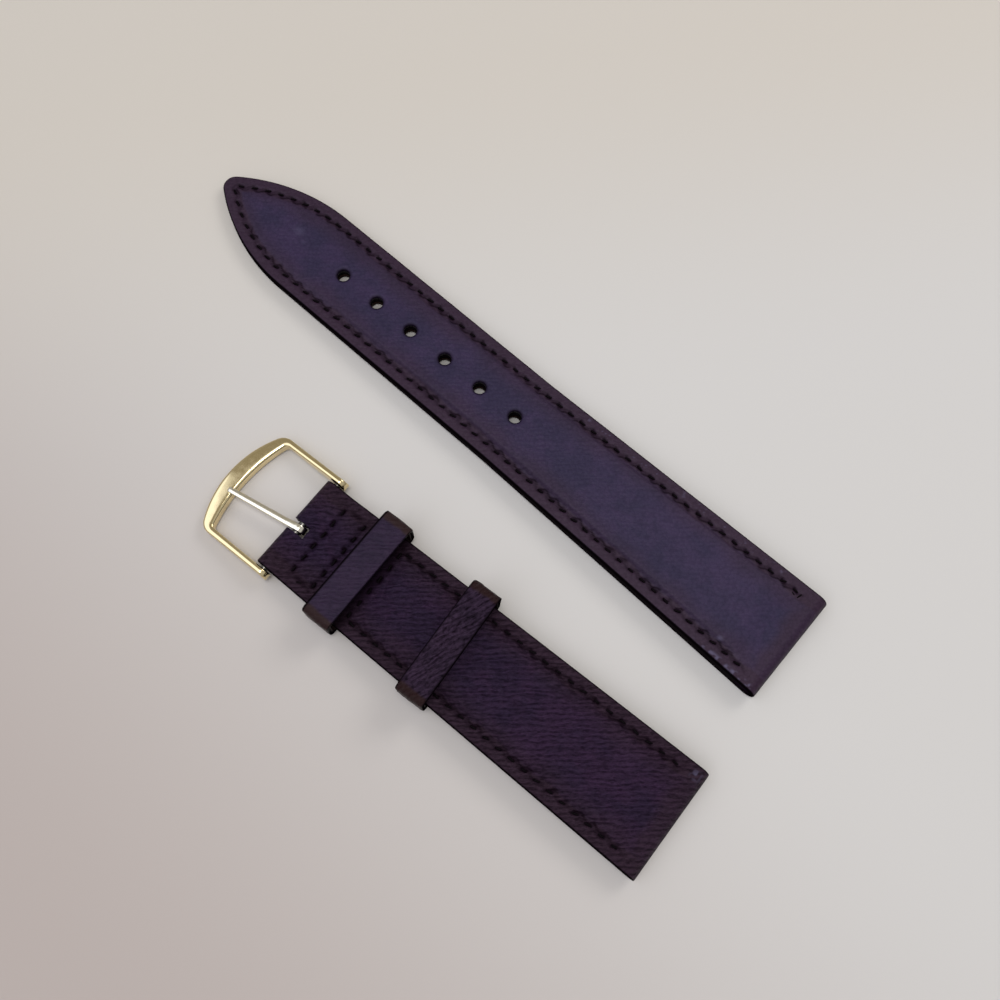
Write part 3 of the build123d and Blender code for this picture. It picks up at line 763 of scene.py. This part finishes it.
def rim_line(half_width, reach, arc_radius, corner):
    """Plan points of one edge of the frame, from the arm round its corner to the middle of the rim.

    The corner is the circle that touches both the arm's line and the rim's arc.
    """
    arc_x = reach - arc_radius
    corner_x = arc_x + math.sqrt((arc_radius - corner) ** 2 - (half_width - corner) ** 2)
    meet = math.atan2(half_width - corner, corner_x - arc_x)
    bend = arc(np.linspace(math.pi / 2, meet, 40), corner, corner_x, half_width - corner)
    bend = np.concatenate([np.array([[ARM_LENGTH, half_width]]), bend])
    bend = np.stack(at_lengths(bend, np.linspace(0, lengths(bend)[-1], 26)), 1)
    return np.concatenate([bend, arc(np.linspace(meet, 0, 40)[1:], arc_radius, arc_x)])


def buckle_frame():
    """The frame: a superellipse section carried from arm end to arm end between its two plan edges.

    Its half height is that of the rim, grows along the arms to the bosses, and ends in a half
    circle round the bar. The upper side is a flattened dome and the underside nearly flat.
    """
    arm_x = np.concatenate([
        -BOSS_RADIUS * np.cos(np.linspace(0, math.pi / 2, 14)), np.linspace(0, ARM_LENGTH, 40)[1:],
    ])
    mirror = np.array([1, -1])
    edges = []
    for half_width, reach, arc_radius, corner in (
        (ARM_OUTER, RIM_OUTER, OUTER_ARC, OUTER_CORNER),
        (ARM_INNER, RIM_INNER, INNER_ARC, INNER_CORNER),
    ):
        arm = np.stack([arm_x, 0 * arm_x + half_width], 1)
        edge = np.concatenate([arm, rim_line(half_width, reach, arc_radius, corner)[1:]])
        edges.append(np.concatenate([edge, (edge * mirror)[-2::-1]])[:, None, :])
    outer, inner = edges
    along = inner[:, 0, 0]
    tall = np.interp(along, (0, 9.0), (BOSS_RADIUS, RIM_HALF))
    tall = np.where(along < 0, np.sqrt(np.maximum(BOSS_RADIUS**2 - along**2, 0)), tall)[:, None]
    turn = full_turn(FRAME_SIDES)[None, :]
    c, s = np.cos(turn), np.sin(turn)
    power = np.where(s >= 0, 2 / 4.2, 2 / 7.0)
    share = 0.5 + 0.5 * swollen(c, power)
    z = tall * swollen(s, power)
    plan = inner + (outer - inner) * share[..., None]
    points = buckle_place(np.concatenate([plan, z[..., None]], -1).reshape(-1, 3))
    faces = tube_faces(len(outer), FRAME_SIDES, caps=False)
    piece = mesh_object("buckle_frame_polished", points, faces, 50)
    ring = arc(full_turn(PIN_SIDES), PIN_HOLE_RADIUS)
    cutters = []
    for side in (1, -1):
        ends = points_of(ring[:, 0], side * np.array([[ARM_INNER - 0.5], [PIN_HOLE_END]]), ring[:, 1])
        cutters.append(mesh_object("cutter", buckle_place(ends), tube_faces(2, PIN_SIDES)))
    cut(piece, cutters)
    return piece


def buckle_tang():
    """The tongue: one strip curled round the bar, whose shank tapers and rounds off over the rim.

    Its centre line is a ring round the bar that leaves over the top and runs straight out; the
    section is a superellipse that thickens from the eye to the shank.
    """
    eye = arc(np.radians(np.linspace(-38, -288, EYE_POINTS)), EYE_RADIUS)
    shank_x = np.linspace(10.8, TANG_REACH - 0.02, 10)
    shank_x = np.concatenate([np.linspace(SHANK_START, 10.6, 40), shank_x])
    shank = np.stack([shank_x, np.interp(shank_x, (SHANK_START, SHANK_END), (0.74, 1.255))], 1)
    bend = eye[-1] + (shank[0] - eye[-1]) * step(0, 1, np.linspace(0, 1, 9)[1:-1, None])
    bend[:, 0] = np.linspace(eye[-1, 0], shank[0, 0], 9)[1:-1]
    path = np.concatenate([eye, bend, shank])
    reach = path[:, 0]
    dipped = path[:, 1] - 0.1 * step(TANG_DIP, TANG_REACH, reach)
    path[:, 1] = np.where(reach > TANG_DIP, dipped, path[:, 1])
    along = np.gradient(path, axis=0)
    along = along / np.hypot(*along.T)[:, None]
    normal = np.stack([-along[:, 1], along[:, 0]], 1)
    index = np.arange(len(path))
    thick = np.interp(index, (0, EYE_POINTS, EYE_POINTS + 7, len(path)), (0.2, 0.21, 0.375, 0.375))
    wide = np.interp(reach, (1.25, TANG_REACH), (EYE_HALF_WIDTH, TIP_HALF_WIDTH))
    wide = np.where(index < EYE_POINTS, EYE_HALF_WIDTH, wide)
    over = ((reach - TANG_ROUNDING) / (TANG_REACH - TANG_ROUNDING)).clip(0)
    tip = np.sqrt(np.clip(1 - over**2, 0, 1))
    thick, wide = thick * np.maximum(tip, 0.05), wide * np.maximum(tip, 0.05)
    turn = full_turn(TANG_SIDES)[None, :]
    across = wide[:, None] * swollen(np.cos(turn), 2 / 3.2)
    rise = thick[:, None] * swollen(np.sin(turn), 2 / 3.4)
    x = path[:, :1] + normal[:, :1] * rise
    z = path[:, 1:] + normal[:, 1:] * rise
    points = in_place(points_of(x, across, z), (0, TANG_OFFSET, TANG_YAW))
    faces = tube_faces(len(path), TANG_SIDES)
    return mesh_object("buckle_tang_polished", buckle_place(points), faces, 50)


def bar_spring(name, side):
    """Half of the spring bar's coil, from the middle to one tip: a round wire carried along a helix."""
    stations = 20 * SPRING_TURNS + 1
    turn = np.linspace(0, 2 * math.pi * SPRING_TURNS, stations)[:, None]
    around = (np.arange(STRAND_SIDES) * math.pi / 3)[None, :]
    radius = SPRING_RADIUS + WIRE_RADIUS * np.cos(around)
    middle = np.linspace(WIRE_RADIUS, SPRING_REACH - WIRE_RADIUS, stations)[:, None]
    y = side * (middle + WIRE_RADIUS * np.sin(around))
    points = points_of(LOOP_X + radius * np.cos(turn), y, LOOP_Z + radius * np.sin(turn))
    return mesh_object(name, points, tube_faces(stations, STRAND_SIDES))


spring_left = bar_spring("bar_spring_left", 1)
spring_right = bar_spring("bar_spring_right", -1)
short_seam = sew("short_threads", buckle_half, seam_places(buckle_half, False), seed=3)
short_low_seam = sew(
    "short_underside_threads", buckle_half, seam_places(buckle_half, True), low=True, seed=4
)
loop_seam = sew("loop_threads", buckle_half, cross_places(), seed=5)
back_tack = np.array([(2.3, -6.75, 1.15), (3.2, -6.5, -0.45)])
long_places = np.concatenate([seam_places(hole_half, False), back_tack])
long_seam = sew("long_threads", hole_half, long_places, place=HOLE_HALF_PLACE, seed=6)
long_low_seam = sew(
    "long_underside_threads", hole_half, seam_places(hole_half, True), low=True,
    place=HOLE_HALF_PLACE, seed=7,
)


def keeper_place(x, skew, low, top, under, beside, slack):
    """A keeper's x, lowest z, skew, half width and height, round the layers between low and top."""
    half_width = float(buckle_half.width(x)) + beside + KEEPER_WALL
    height = float(top - low) + slack + KEEPER_ROOM + 2 * KEEPER_WALL
    return x, float(low) - under - KEEPER_WALL, skew, half_width, height


fixed_keeper = keeper_place(
    FIXED_KEEPER_X, 0.0, buckle_half.lining_top(FIXED_KEEPER_X),
    buckle_half.margin_top(FIXED_KEEPER_X), under=0.02, beside=0.51, slack=0.0,
)
free_keeper = keeper_place(
    FREE_KEEPER_X, FREE_KEEPER_SKEW, buckle_half.base(FREE_KEEPER_X),
    buckle_half.pad_top(FREE_KEEPER_X) + TOP_LEATHER, under=0.25, beside=0.3, slack=0.25,
)
OUTSIDE = (0.0, KEEPER_LEATHER, 0.0)
INSIDE = (KEEPER_LEATHER, KEEPER_WALL - KEEPER_LEATHER, 0.15)
fixed_band = keeper_band("fixed_keeper_band", *fixed_keeper, *OUTSIDE, 41)
fixed_inside = keeper_band("fixed_keeper_inside", *fixed_keeper, *INSIDE, 43)
free_band = keeper_band("free_keeper_band", *free_keeper, *OUTSIDE, 45, 0.06)
free_inside = keeper_band("free_keeper_inside", *free_keeper, *INSIDE, 47)

short_pad = slab("short_pad", buckle_half, np.linspace(4.0, 50.0, 60), buckle_half.filler_top,
                 buckle_half.pad_top, inset=PAD_INSET, dome=0.25, border=PAD_BORDER)
pad_turn = math.asin(-HoleHalf.flank_y / (OGIVE_RADIUS - PAD_INSET - 0.15))
pad_length = OGIVE_X + OGIVE_RADIUS * (math.pi / 2 - pad_turn)


def long_pad_top(x):
    """Height of the hole half's padding, thinner towards the tip."""
    return hole_half.filler_top(x) + hole_half.swell(x) * hole_half.thinned(x)


long_pad = slab("long_pad", hole_half, pointed_reaches(4.0, 80, pad_length, 40),
                hole_half.filler_top, long_pad_top, HOLE_HALF_PLACE,
                inset=PAD_INSET, dome=0.12, border=PAD_BORDER)
cut(long_pad, hole_cutters())
frame_piece = buckle_frame()
tang_piece = buckle_tang()


def store(piece, **layers):
    """Writes per-point values into the piece's mesh, where its material reads them by name."""
    for name, values in layers.items():
        layer = piece.data.attributes.new(name, "FLOAT", "POINT")
        layer.data.foreach_set("value", np.asarray(values, np.float32))


def plan_of(piece, place=ROW_PLACE):
    """The x and y in mm of every point of a piece, in the frame that stands and turns at a place."""
    flat = np.empty(3 * len(piece.data.vertices))
    piece.data.vertices.foreach_get("co", flat)
    x, y, turn = place
    co = flat.reshape(-1, 3) / MM - (x, y, 0)
    return in_place(co, (0, 0, -turn))[:, :2].T


def mark_half(piece, half, place=ROW_PLACE):
    """Painted edges with painted shade on the lug's nose, browner margins, needle pits, painted shade
    in a crease, and marks of a half's leather or lining.
    """
    x, y = plan_of(piece, place)
    edge, along = half.border(x, y)
    sewn = along - STITCH_START
    # Edge paint on the cut edges. The rounded nose at the lug is darkened as well, as painted shade.
    paint = np.maximum(1 - step(0.08, 0.26, edge), 0.85 * (1 - step(-1.68, -1.4, x)))
    margin = 1 - step(2.2, 3.2, edge + 0.35 * wander(x, y, 3.0, 51))
    margin = np.maximum(margin, 0.8 * (1 - step(0.4, 2.6, x + 0.5 * wander(x, y, 2.0, 52))))
    margin = np.maximum(margin, 0.6 * (1 - step(2.5, 6.0, edge + 0.8 * wander(x, y, 4.0, 58))))
    stray = 0.12 * wander(x, y, 0.7, 56) + 0.2 * np.sin(2 * math.pi * sewn / half.pitch)
    needle = 0.5 + 0.5 * step(0.35, 0.75, stitch_phase(sewn, half.pitch))
    pits = bell(edge - STITCH_MARGIN - stray, 0.45) * needle * step(1.2, 2.2, x)
    # Painted shade: a dark line along the crease where the padding rises from the margin.
    crease = bell(edge - 2.2 - stray, 0.34) * step(-0.8, 0.1, wander(x, y, 1.1, 57))
    pits, scuff = half.wear(x, y, np.maximum(pits, crease * step(2, 5, x)))
    store(piece, paint=paint, margin=margin, pits=pits, scuff=scuff)


def mark_keeper(piece, keeper):
    """A keeper's brown turned-down ends, and the paint on its cut edges, which reaches onto its face as
    painted shade of the gap beside it.
    """
    at_x, _, skew, half_width, _ = keeper
    x, y = plan_of(piece, (at_x, 0, skew))
    ends = step(half_width - 1.7, half_width - 1.1, np.abs(y) + 0.15 * wander(x, y, 0.8, 61))
    # Edge paint, widened onto the face as painted shade of the gap beside the keeper.
    paint = step(KEEPER_LENGTH / 2 - 0.34, KEEPER_LENGTH / 2 - 0.06, np.abs(x))
    store(piece, ends=ends, paint=paint)


for piece in (short_leather, short_lining):
    mark_half(piece, buckle_half)
for piece in (long_leather, long_lining):
    mark_half(piece, hole_half, HOLE_HALF_PLACE)
for piece in (fixed_band, fixed_inside):
    mark_keeper(piece, fixed_keeper)
for piece in (free_band, free_inside):
    mark_keeper(piece, free_keeper)


class Graph:
    """Short calls that add shader nodes to one tree and link them."""

    def __init__(self, tree):
        self.tree = tree

    def add(self, kind, inputs, output=0, **settings):
        """A new node: its settings, its inputs linked or given a value, and one of its outputs."""
        node = self.tree.nodes.new("ShaderNode" + kind)
        for name, value in settings.items():
            setattr(node, name, value)
        for key, value in inputs.items():
            if isinstance(value, bpy.types.NodeSocket):
                self.tree.links.new(value, node.inputs[key])
            else:
                node.inputs[key].default_value = value
        return node.outputs[output]

    def times(self, a, b):
        """The product of two values."""
        return self.add("Math", {0: a, 1: b}, operation="MULTIPLY")

    def plus(self, a, b):
        """The sum of two values."""
        return self.add("Math", {0: a, 1: b}, operation="ADD")

    def less(self, a, b):
        """The first value less the second."""
        return self.add("Math", {0: a, 1: b}, operation="SUBTRACT")

    def drawn(self, vector, factors):
        """A vector with each coordinate times its own factor: a small one draws a pattern out."""
        return self.add("VectorMath", {0: vector, 1: factors}, operation="MULTIPLY")

    def towards(self, vector, direction):
        """How far a vector reaches in a direction."""
        return self.add("VectorMath", {0: vector, 1: direction}, "Value", operation="DOT_PRODUCT")

    def fade(self, value, low, high):
        """0 up to low, 1 from high, smooth between; the other way round where low is the larger."""
        ends = {"Value": value, "From Min": low, "From Max": high}
        return self.add("MapRange", ends, interpolation_type="SMOOTHSTEP")

    def blend(self, share, a, b, kind="MIX"):
        """Colour a where the share is 0 and b where it is 1, or another mix of the two."""
        return self.add("Mix", {0: share, 6: a, 7: b}, 2, data_type="RGBA", blend_type=kind)

    def noise(self, vector, scale, detail=2.0, roughness=0.5):
        """Noise of about 0 to 1, with scale waves to the millimetre."""
        return self.add("TexNoise", {
            "Vector": vector, "Scale": scale, "Detail": detail, "Roughness": roughness,
        })

    def bump(self, height, distance, strength):
        """The surface's direction as tilted by a height that counts in units of the distance."""
        return self.add("Bump", {"Height": height, "Distance": distance, "Strength": strength})

    def stored(self, name):
        """A per-point value that store() wrote, or 0 where a mesh has none."""
        return self.add("Attribute", {}, "Fac", attribute_name=name)

    def millimetres(self):
        """The piece's own coordinates, in mm."""
        place = self.add("TexCoord", {}, "Object")
        return self.add("VectorMath", {0: place, "Scale": 1000.0}, operation="SCALE")

    def use(self, tree, **values):
        """A node group in this tree with its inputs set, as the group's outputs by name."""
        node = self.tree.nodes.new("ShaderNodeGroup")
        node.node_tree = tree
        for name, value in values.items():
            node.inputs[name].default_value = value
        return node.outputs

    def feed(self, sockets, **values):
        """Links values to the inputs of a shader, or of a group's end, by name."""
        for name, value in values.items():
            self.tree.links.new(value, sockets[name.replace("_", " ")])


def new_group(name, inputs, outputs):
    """An empty node group with float inputs and outputs, its graph and the sockets of its two ends."""
    tree = bpy.data.node_groups.new(name, "ShaderNodeTree")
    for label, default in inputs.items():
        socket = tree.interface.new_socket(label, in_out="INPUT", socket_type="NodeSocketFloat")
        socket.default_value = default
    for label in outputs:
        tree.interface.new_socket(label, in_out="OUTPUT", socket_type="NodeSocketFloat")
    start, end = tree.nodes.new("NodeGroupInput"), tree.nodes.new("NodeGroupOutput")
    return tree, Graph(tree), start.outputs, end.inputs


def grain_group():
    """Leather grain: its height in mm, a mottle from 0 to 1, and a painted shade that darkens the
    furrows, pores and pebble hollows.

    Ripples are wandering bands about 0.8 mm apart, stronger in patches, over a finer noise drawn out
    along them; pebbles are the domes of Voronoi cells, and pores pits at the points of finer cells.
    """
    tree, g, given, out = new_group(
        "leather_grain", {"Ripples": 0.0, "Pebbles": 0.0, "Turn": 0.0}, ("Height", "Mottle", "Shade")
    )
    place = g.millimetres()
    turned = g.add("VectorRotate", {"Vector": place, "Angle": given["Turn"]}, rotation_type="Z_AXIS")
    bands = g.add("TexWave", {
        "Vector": g.drawn(turned, (0.38, 1.0, 0.6)), "Scale": 0.4, "Distortion": 7.0, "Detail": 2.5,
        "Detail Scale": 1.6, "Detail Roughness": 0.6,
    }, 1, bands_direction="Y")
    patches = g.fade(g.noise(place, 0.5, 3.0, 0.6), 0.3, 0.6)
    ripple = g.times(bands, g.plus(0.3, g.times(patches, 0.7)))
    fine = g.noise(g.drawn(turned, (0.5, 1.6, 0.8)), 2.6, 3.0, 0.65)
    cells = g.add("TexVoronoi", {"Vector": place, "Scale": 2.1, "Smoothness": 0.3}, feature="SMOOTH_F1")
    domes = g.fade(cells, 0.75, 0.1)
    pore = g.fade(g.add("TexVoronoi", {"Vector": place, "Scale": 3.6}), 0.24, 0.05)
    rough = g.noise(place, 5.5, 3.0, 0.65)
    wave = g.plus(g.times(ripple, 0.12), g.times(fine, 0.32))
    height = g.times(wave, given["Ripples"])
    height = g.plus(height, g.times(g.times(domes, 0.07), given["Pebbles"]))
    height = g.less(height, g.times(pore, 0.012))
    height = g.plus(height, g.times(rough, 0.02))
    cloud, patch = g.noise(place, 0.16, 3.0, 0.55), g.noise(place, 0.75, 3.0, 0.6)
    mottle = g.fade(g.plus(g.times(cloud, 0.65), g.times(patch, 0.35)), 0.38, 0.62)
    # Painted shade: the colour darkens in the ripples' furrows, in the pores and in the hollows between
    # pebbles.
    hollow = g.plus(g.fade(ripple, 0.7, 0.0), g.fade(fine, 0.58, 0.38))
    dark = g.times(g.times(hollow, 0.3), given["Ripples"])
    dark = g.plus(dark, g.times(pore, 0.16))
    dark = g.plus(dark, g.times(g.times(g.fade(cells, 0.35, 0.75), 0.5), given["Pebbles"]))
    shade = g.less(g.plus(0.92, g.times(rough, 0.16)), dark)
    g.feed(out, Height=height, Mottle=mottle, Shade=shade)
    return tree


def scratch_group():
    """Fine wear of polished metal: how much small smears dull it, and a height in mm of scratches."""
    tree, g, given, out = new_group("metal_wear", {"Wear": 1.0}, ("Smear", "Height"))
    place = g.millimetres()
    smear = g.fade(g.noise(place, 0.9, 4.0, 0.65), 0.35, 0.75)
    lines = g.noise(g.drawn(place, (0.5, 9.0, 5.0)), 2.4, 2.0, 0.6)
    waves = g.plus(g.times(lines, 0.0006), g.times(g.noise(place, 0.35, 1.0), 0.012))
    g.feed(out, Smear=g.times(smear, given["Wear"]), Height=g.times(waves, given["Wear"]))
    return tree


def principled(name, **values):
    """A material with a Principled shader whose sockets get the given values."""
    material = bpy.data.materials.new(name)
    material.use_nodes = True
    shader = material.node_tree.nodes["Principled BSDF"]
    for socket, value in values.items():
        shader.inputs[socket.replace("_", " ")].default_value = value
    return material, Graph(material.node_tree), shader


def srgb(red, green, blue):
    """A colour written as 0 to 255, as the linear values that shaders use."""
    parts = [c / 255 for c in (red, green, blue)]
    return [p / 12.92 if p < 0.04045 else ((p + 0.055) / 1.055) ** 2.4 for p in parts] + [1.0]


GRAIN = grain_group()
WEAR = scratch_group()
RIPPLE_TURN, KEEPER_TURN = math.radians(-38.6), math.radians(-68)
LEATHER_GLOSS = 0.16


def leather(name, deep, pale, margin, ripples, pebbles, roughness, turn=RIPPLE_TURN):
    """Dyed leather: mottled between two tones, with browner margins, dark pits and painted shade, pale
    marks and painted highlights, edge paint, and painted shade in its furrows.

    It shines least where it is darkest: in its pits and furrows, and on the painted edges.
    """
    material, g, shader = principled(name)
    grain = g.use(GRAIN, Ripples=ripples, Pebbles=pebbles, Turn=turn)
    paint, pits, shade = g.stored("paint"), g.stored("pits"), grain["Shade"]
    grey = g.add("CombineColor", {"Red": shade, "Green": shade, "Blue": shade})
    colour = g.blend(grain["Mottle"], srgb(*deep), srgb(*pale))
    colour = g.blend(g.times(g.stored("margin"), 0.85), colour, srgb(*margin))
    # The grain's painted shade multiplies the colour and darkens the furrows.
    colour = g.blend(1.0, colour, grey, "MULTIPLY")
    # Stains: dark pits with painted shade in creases and beside the fixed keeper, the keepers' brown
    # ends, pale marks with painted highlights, and edge paint with painted shade.
    for share, stain in (
        (g.times(pits, 0.86), (13, 5, 11)), (g.stored("ends"), (44, 27, 28)),
        (g.stored("scuff"), (104, 98, 126)), (paint, (11, 7, 10)),
    ):
        colour = g.blend(share, colour, srgb(*stain))
    dull = g.less(g.plus(g.times(grain["Mottle"], -0.06), roughness), g.times(paint, 0.12))
    open_grain = g.times(g.less(1.0, g.times(pits, 0.85)), shade)
    shine = g.times(g.times(g.less(1.0, paint), open_grain), LEATHER_GLOSS)
    g.feed(shader.inputs, Base_Color=colour, Roughness=dull, Specular_IOR_Level=shine,
           Normal=g.bump(grain["Height"], 0.001, 1.0))
    return material


def metal(name, colour, roughness):
    """Polished plating with faint smears and scratches."""
    material, g, shader = principled(name, Base_Color=srgb(*colour), Metallic=1.0)
    wear = g.use(WEAR, Wear=1.0)
    g.feed(shader.inputs, Roughness=g.plus(g.times(wear["Smear"], 0.05), roughness),
           Normal=g.bump(wear["Height"], 0.001, 0.6))
    return material


def waxed_thread():
    """Dark waxed thread: close strands that show as fine slanting ridges."""
    material, g, shader = principled("waxed_thread", Roughness=0.6, Specular_IOR_Level=0.06)
    strands = g.noise(g.drawn(g.millimetres(), (1.0, 3.0, 3.0)), 3.0)
    g.feed(shader.inputs, Base_Color=g.blend(strands, srgb(3, 1, 3), srgb(14, 6, 12)),
           Normal=g.bump(strands, 0.00006, 0.8))
    return material


def pressed_core():
    """The filler's painted cut edge: black, slightly uneven and dull."""
    material, g, shader = principled("painted_core", Specular_IOR_Level=0.0)
    fibres = g.noise(g.millimetres(), 2.2, 4.0, 0.6)
    g.feed(shader.inputs, Base_Color=g.blend(fibres, srgb(11, 9, 11), srgb(32, 27, 29)),
           Roughness=g.plus(g.times(fibres, 0.2), 0.4), Normal=g.bump(fibres, 0.00005, 0.7))
    return material


smooth_leather = leather("smooth_leather", (46, 39, 65), (56, 44, 73), (53, 35, 50), 0.15, 0.25, 0.5)
creased_leather = leather("creased_leather", (42, 27, 52), (52, 31, 58), (51, 33, 46), 1.0, 0.0, 0.5)
keeper_leather = leather("keeper_leather", (38, 27, 49), (48, 33, 57), (40, 28, 42), 0.5, 0.0, 0.48)
pebbled_leather = leather(
    "pebbled_leather", (47, 32, 52), (59, 41, 63), (40, 28, 42), 1.0, 0.45, 0.48, KEEPER_TURN
)
lining_finish = leather("lining_leather", (92, 66, 54), (108, 80, 66), (92, 66, 54), 0.15, 0.0, 0.7)
core_finish = pressed_core()
thread_finish = waxed_thread()
gold = metal("gold_plating", (237, 219, 172), 0.07)
tang_gold = metal("tang_plating", (246, 240, 222), 0.14)
steel = metal("turned_steel", (120, 117, 112), 0.3)


def dress(body, rows):
    """Gives pieces of a body their finish, attaches them to the body and hides the node that each
    replaces; each row's material slot is not used.
    """
    for piece, node, finish, slot in rows:
        piece.data.materials.clear()
        piece.data.materials.append(finish)
        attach(piece, body)
        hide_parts(node)


dress("buckle_half", (
    (short_leather, "short_top_leather", creased_leather, "purple_leather"),
    (short_lining, "short_lining", lining_finish, "lining_leather"),
    (short_core, "short_stiffener", core_finish, "stiffener"),
    (short_pad, "short_padding", core_finish, "padding"),
    (short_seam, "short_side_stitching", thread_finish, "thread"),
    (short_low_seam, "short_side_stitching", thread_finish, "thread"),
    (loop_seam, "loop_stitching", thread_finish, "thread"),
    (fixed_band, "fixed_keeper_leather", keeper_leather, "purple_leather"),
    (fixed_inside, "fixed_keeper_lining", lining_finish, "lining_leather"),
))
dress("free_keeper", (
    (free_band, "free_keeper_leather", pebbled_leather, "purple_leather"),
    (free_inside, "free_keeper_lining", lining_finish, "lining_leather"),
))
dress("buckle", ((frame_piece, "buckle_frame", gold, "gold_plate"),))
dress("tang", ((tang_piece, "buckle_tang", tang_gold, "gold_plate"),))
dress("buckle_half", (
    (spring_left, "spring_bar_spring", steel, "steel"),
    (spring_right, "spring_bar_spring", steel, "steel"),
))
dress("hole_half", (
    (long_leather, "long_top_leather", smooth_leather, "purple_leather"),
    (long_lining, "long_lining", lining_finish, "lining_leather"),
    (long_core, "long_stiffener", core_finish, "stiffener"),
    (long_pad, "long_padding", core_finish, "padding"),
    (long_seam, "long_stitching", thread_finish, "thread"),
    (long_low_seam, "long_stitching", thread_finish, "thread"),
))
for coil, joint in ((spring_left, "tip_left_slide"), (spring_right, "tip_right_slide")):
    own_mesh(coil)

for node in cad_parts.values():
    if not node.hide_render:
        node.data.materials.clear()
        node.data.materials.append(steel)


def lay_floor():
    """A plain pale table top under the strap, with painted shade darkening it to one side, and warmer
    in one corner.
    """
    mesh = bpy.data.meshes.new("table_top")
    side, z = 0.9, (FLOOR_Z - 0.03) * MM
    corners = [(-side, -side, z), (side, -side, z), (side, side, z), (-side, side, z)]
    mesh.from_pydata(corners, [], [(0, 1, 2, 3)])
    finish, g, shader = principled("table_finish", Roughness=0.7, Specular_IOR_Level=0.2)
    place = g.millimetres()
    near, far = g.towards(place, (0.1, 0.99, 0)), g.towards(place, (0.75, -0.66, 0))
    # Painted shade: the table darkens towards +Y, where the light falls off.
    colour = g.blend(g.fade(near, -30.0, 75.0), srgb(213, 210, 206), srgb(188, 177, 171))
    colour = g.blend(g.times(g.fade(far, 60.0, 130.0), 0.8), colour, srgb(210, 202, 190))
    g.feed(shader.inputs, Base_Color=colour)
    mesh.materials.append(finish)
    new_object("table_top", mesh)


def aim(thing, place, target, roll=0.0):
    """Puts a camera or a lamp at a place, facing its target and turned about its own axis."""
    facing = (Vector(target) - Vector(place)).to_track_quat("-Z", "Y")
    thing.location = place
    thing.rotation_mode = "QUATERNION"
    thing.rotation_quaternion = facing @ Quaternion((0, 0, 1), roll)


def add_camera():
    """The photograph's view: fitted place and target, turned about its own axis."""
    camera = new_object("camera", bpy.data.cameras.new("camera"))
    place, target = Vector((23.95, 14.35, 148.75)) * MM, Vector((46.45, -22.3, -1.75)) * MM
    aim(camera, place, target, math.radians(7.31))
    camera.data.sensor_width = 36
    camera.data.lens = 37.03
    camera.data.clip_start, camera.data.clip_end = 0.005, 5
    bpy.context.scene.camera = camera


def add_lamp(name, place, target, size, power, colour):
    """A square soft lamp that faces its target, all in metres and watts."""
    lamp = new_object(name, bpy.data.lights.new(name, "AREA"))
    lamp.data.size = size
    lamp.data.energy = power
    lamp.data.color = colour
    aim(lamp, place, target)


def light_room():
    """A pale room that is darker on one side, a window beyond the hole half and a lamp overhead."""
    world = bpy.data.worlds.new("room")
    world.use_nodes = True
    g = Graph(world.node_tree)
    towards = g.add("TexCoord", {}, "Generated")
    x, y, z = g.add("SeparateXYZ", {"Vector": towards}).node.outputs
    walls = g.blend(g.fade(z, 0.05, 0.75), (0.25, 0.235, 0.22, 1), (0.46, 0.46, 0.47, 1))
    ceiling = g.blend(g.fade(y, -0.088, -0.06), (0.3, 0.275, 0.23, 1), (1.42, 1.46, 1.62, 1))
    high = g.times(g.fade(x, -0.2, 0.1), g.fade(z, 0.4, 0.75))
    background = world.node_tree.nodes["Background"]
    g.feed(background.inputs, Color=g.blend(high, walls, ceiling))
    bpy.context.scene.world = world
    strap_middle = (0.05, -0.02, 0)
    add_lamp("window", (-0.12, -0.7, 0.62), strap_middle, 0.4, 1.78, (1, 0.985, 0.96))
    add_lamp("ceiling_lamp", (0.02, 0.03, 0.75), strap_middle, 0.22, 1.45, (1, 0.99, 0.975))


lay_floor()
add_camera()
light_room()
bpy.context.scene.view_settings.view_transform = "Standard"
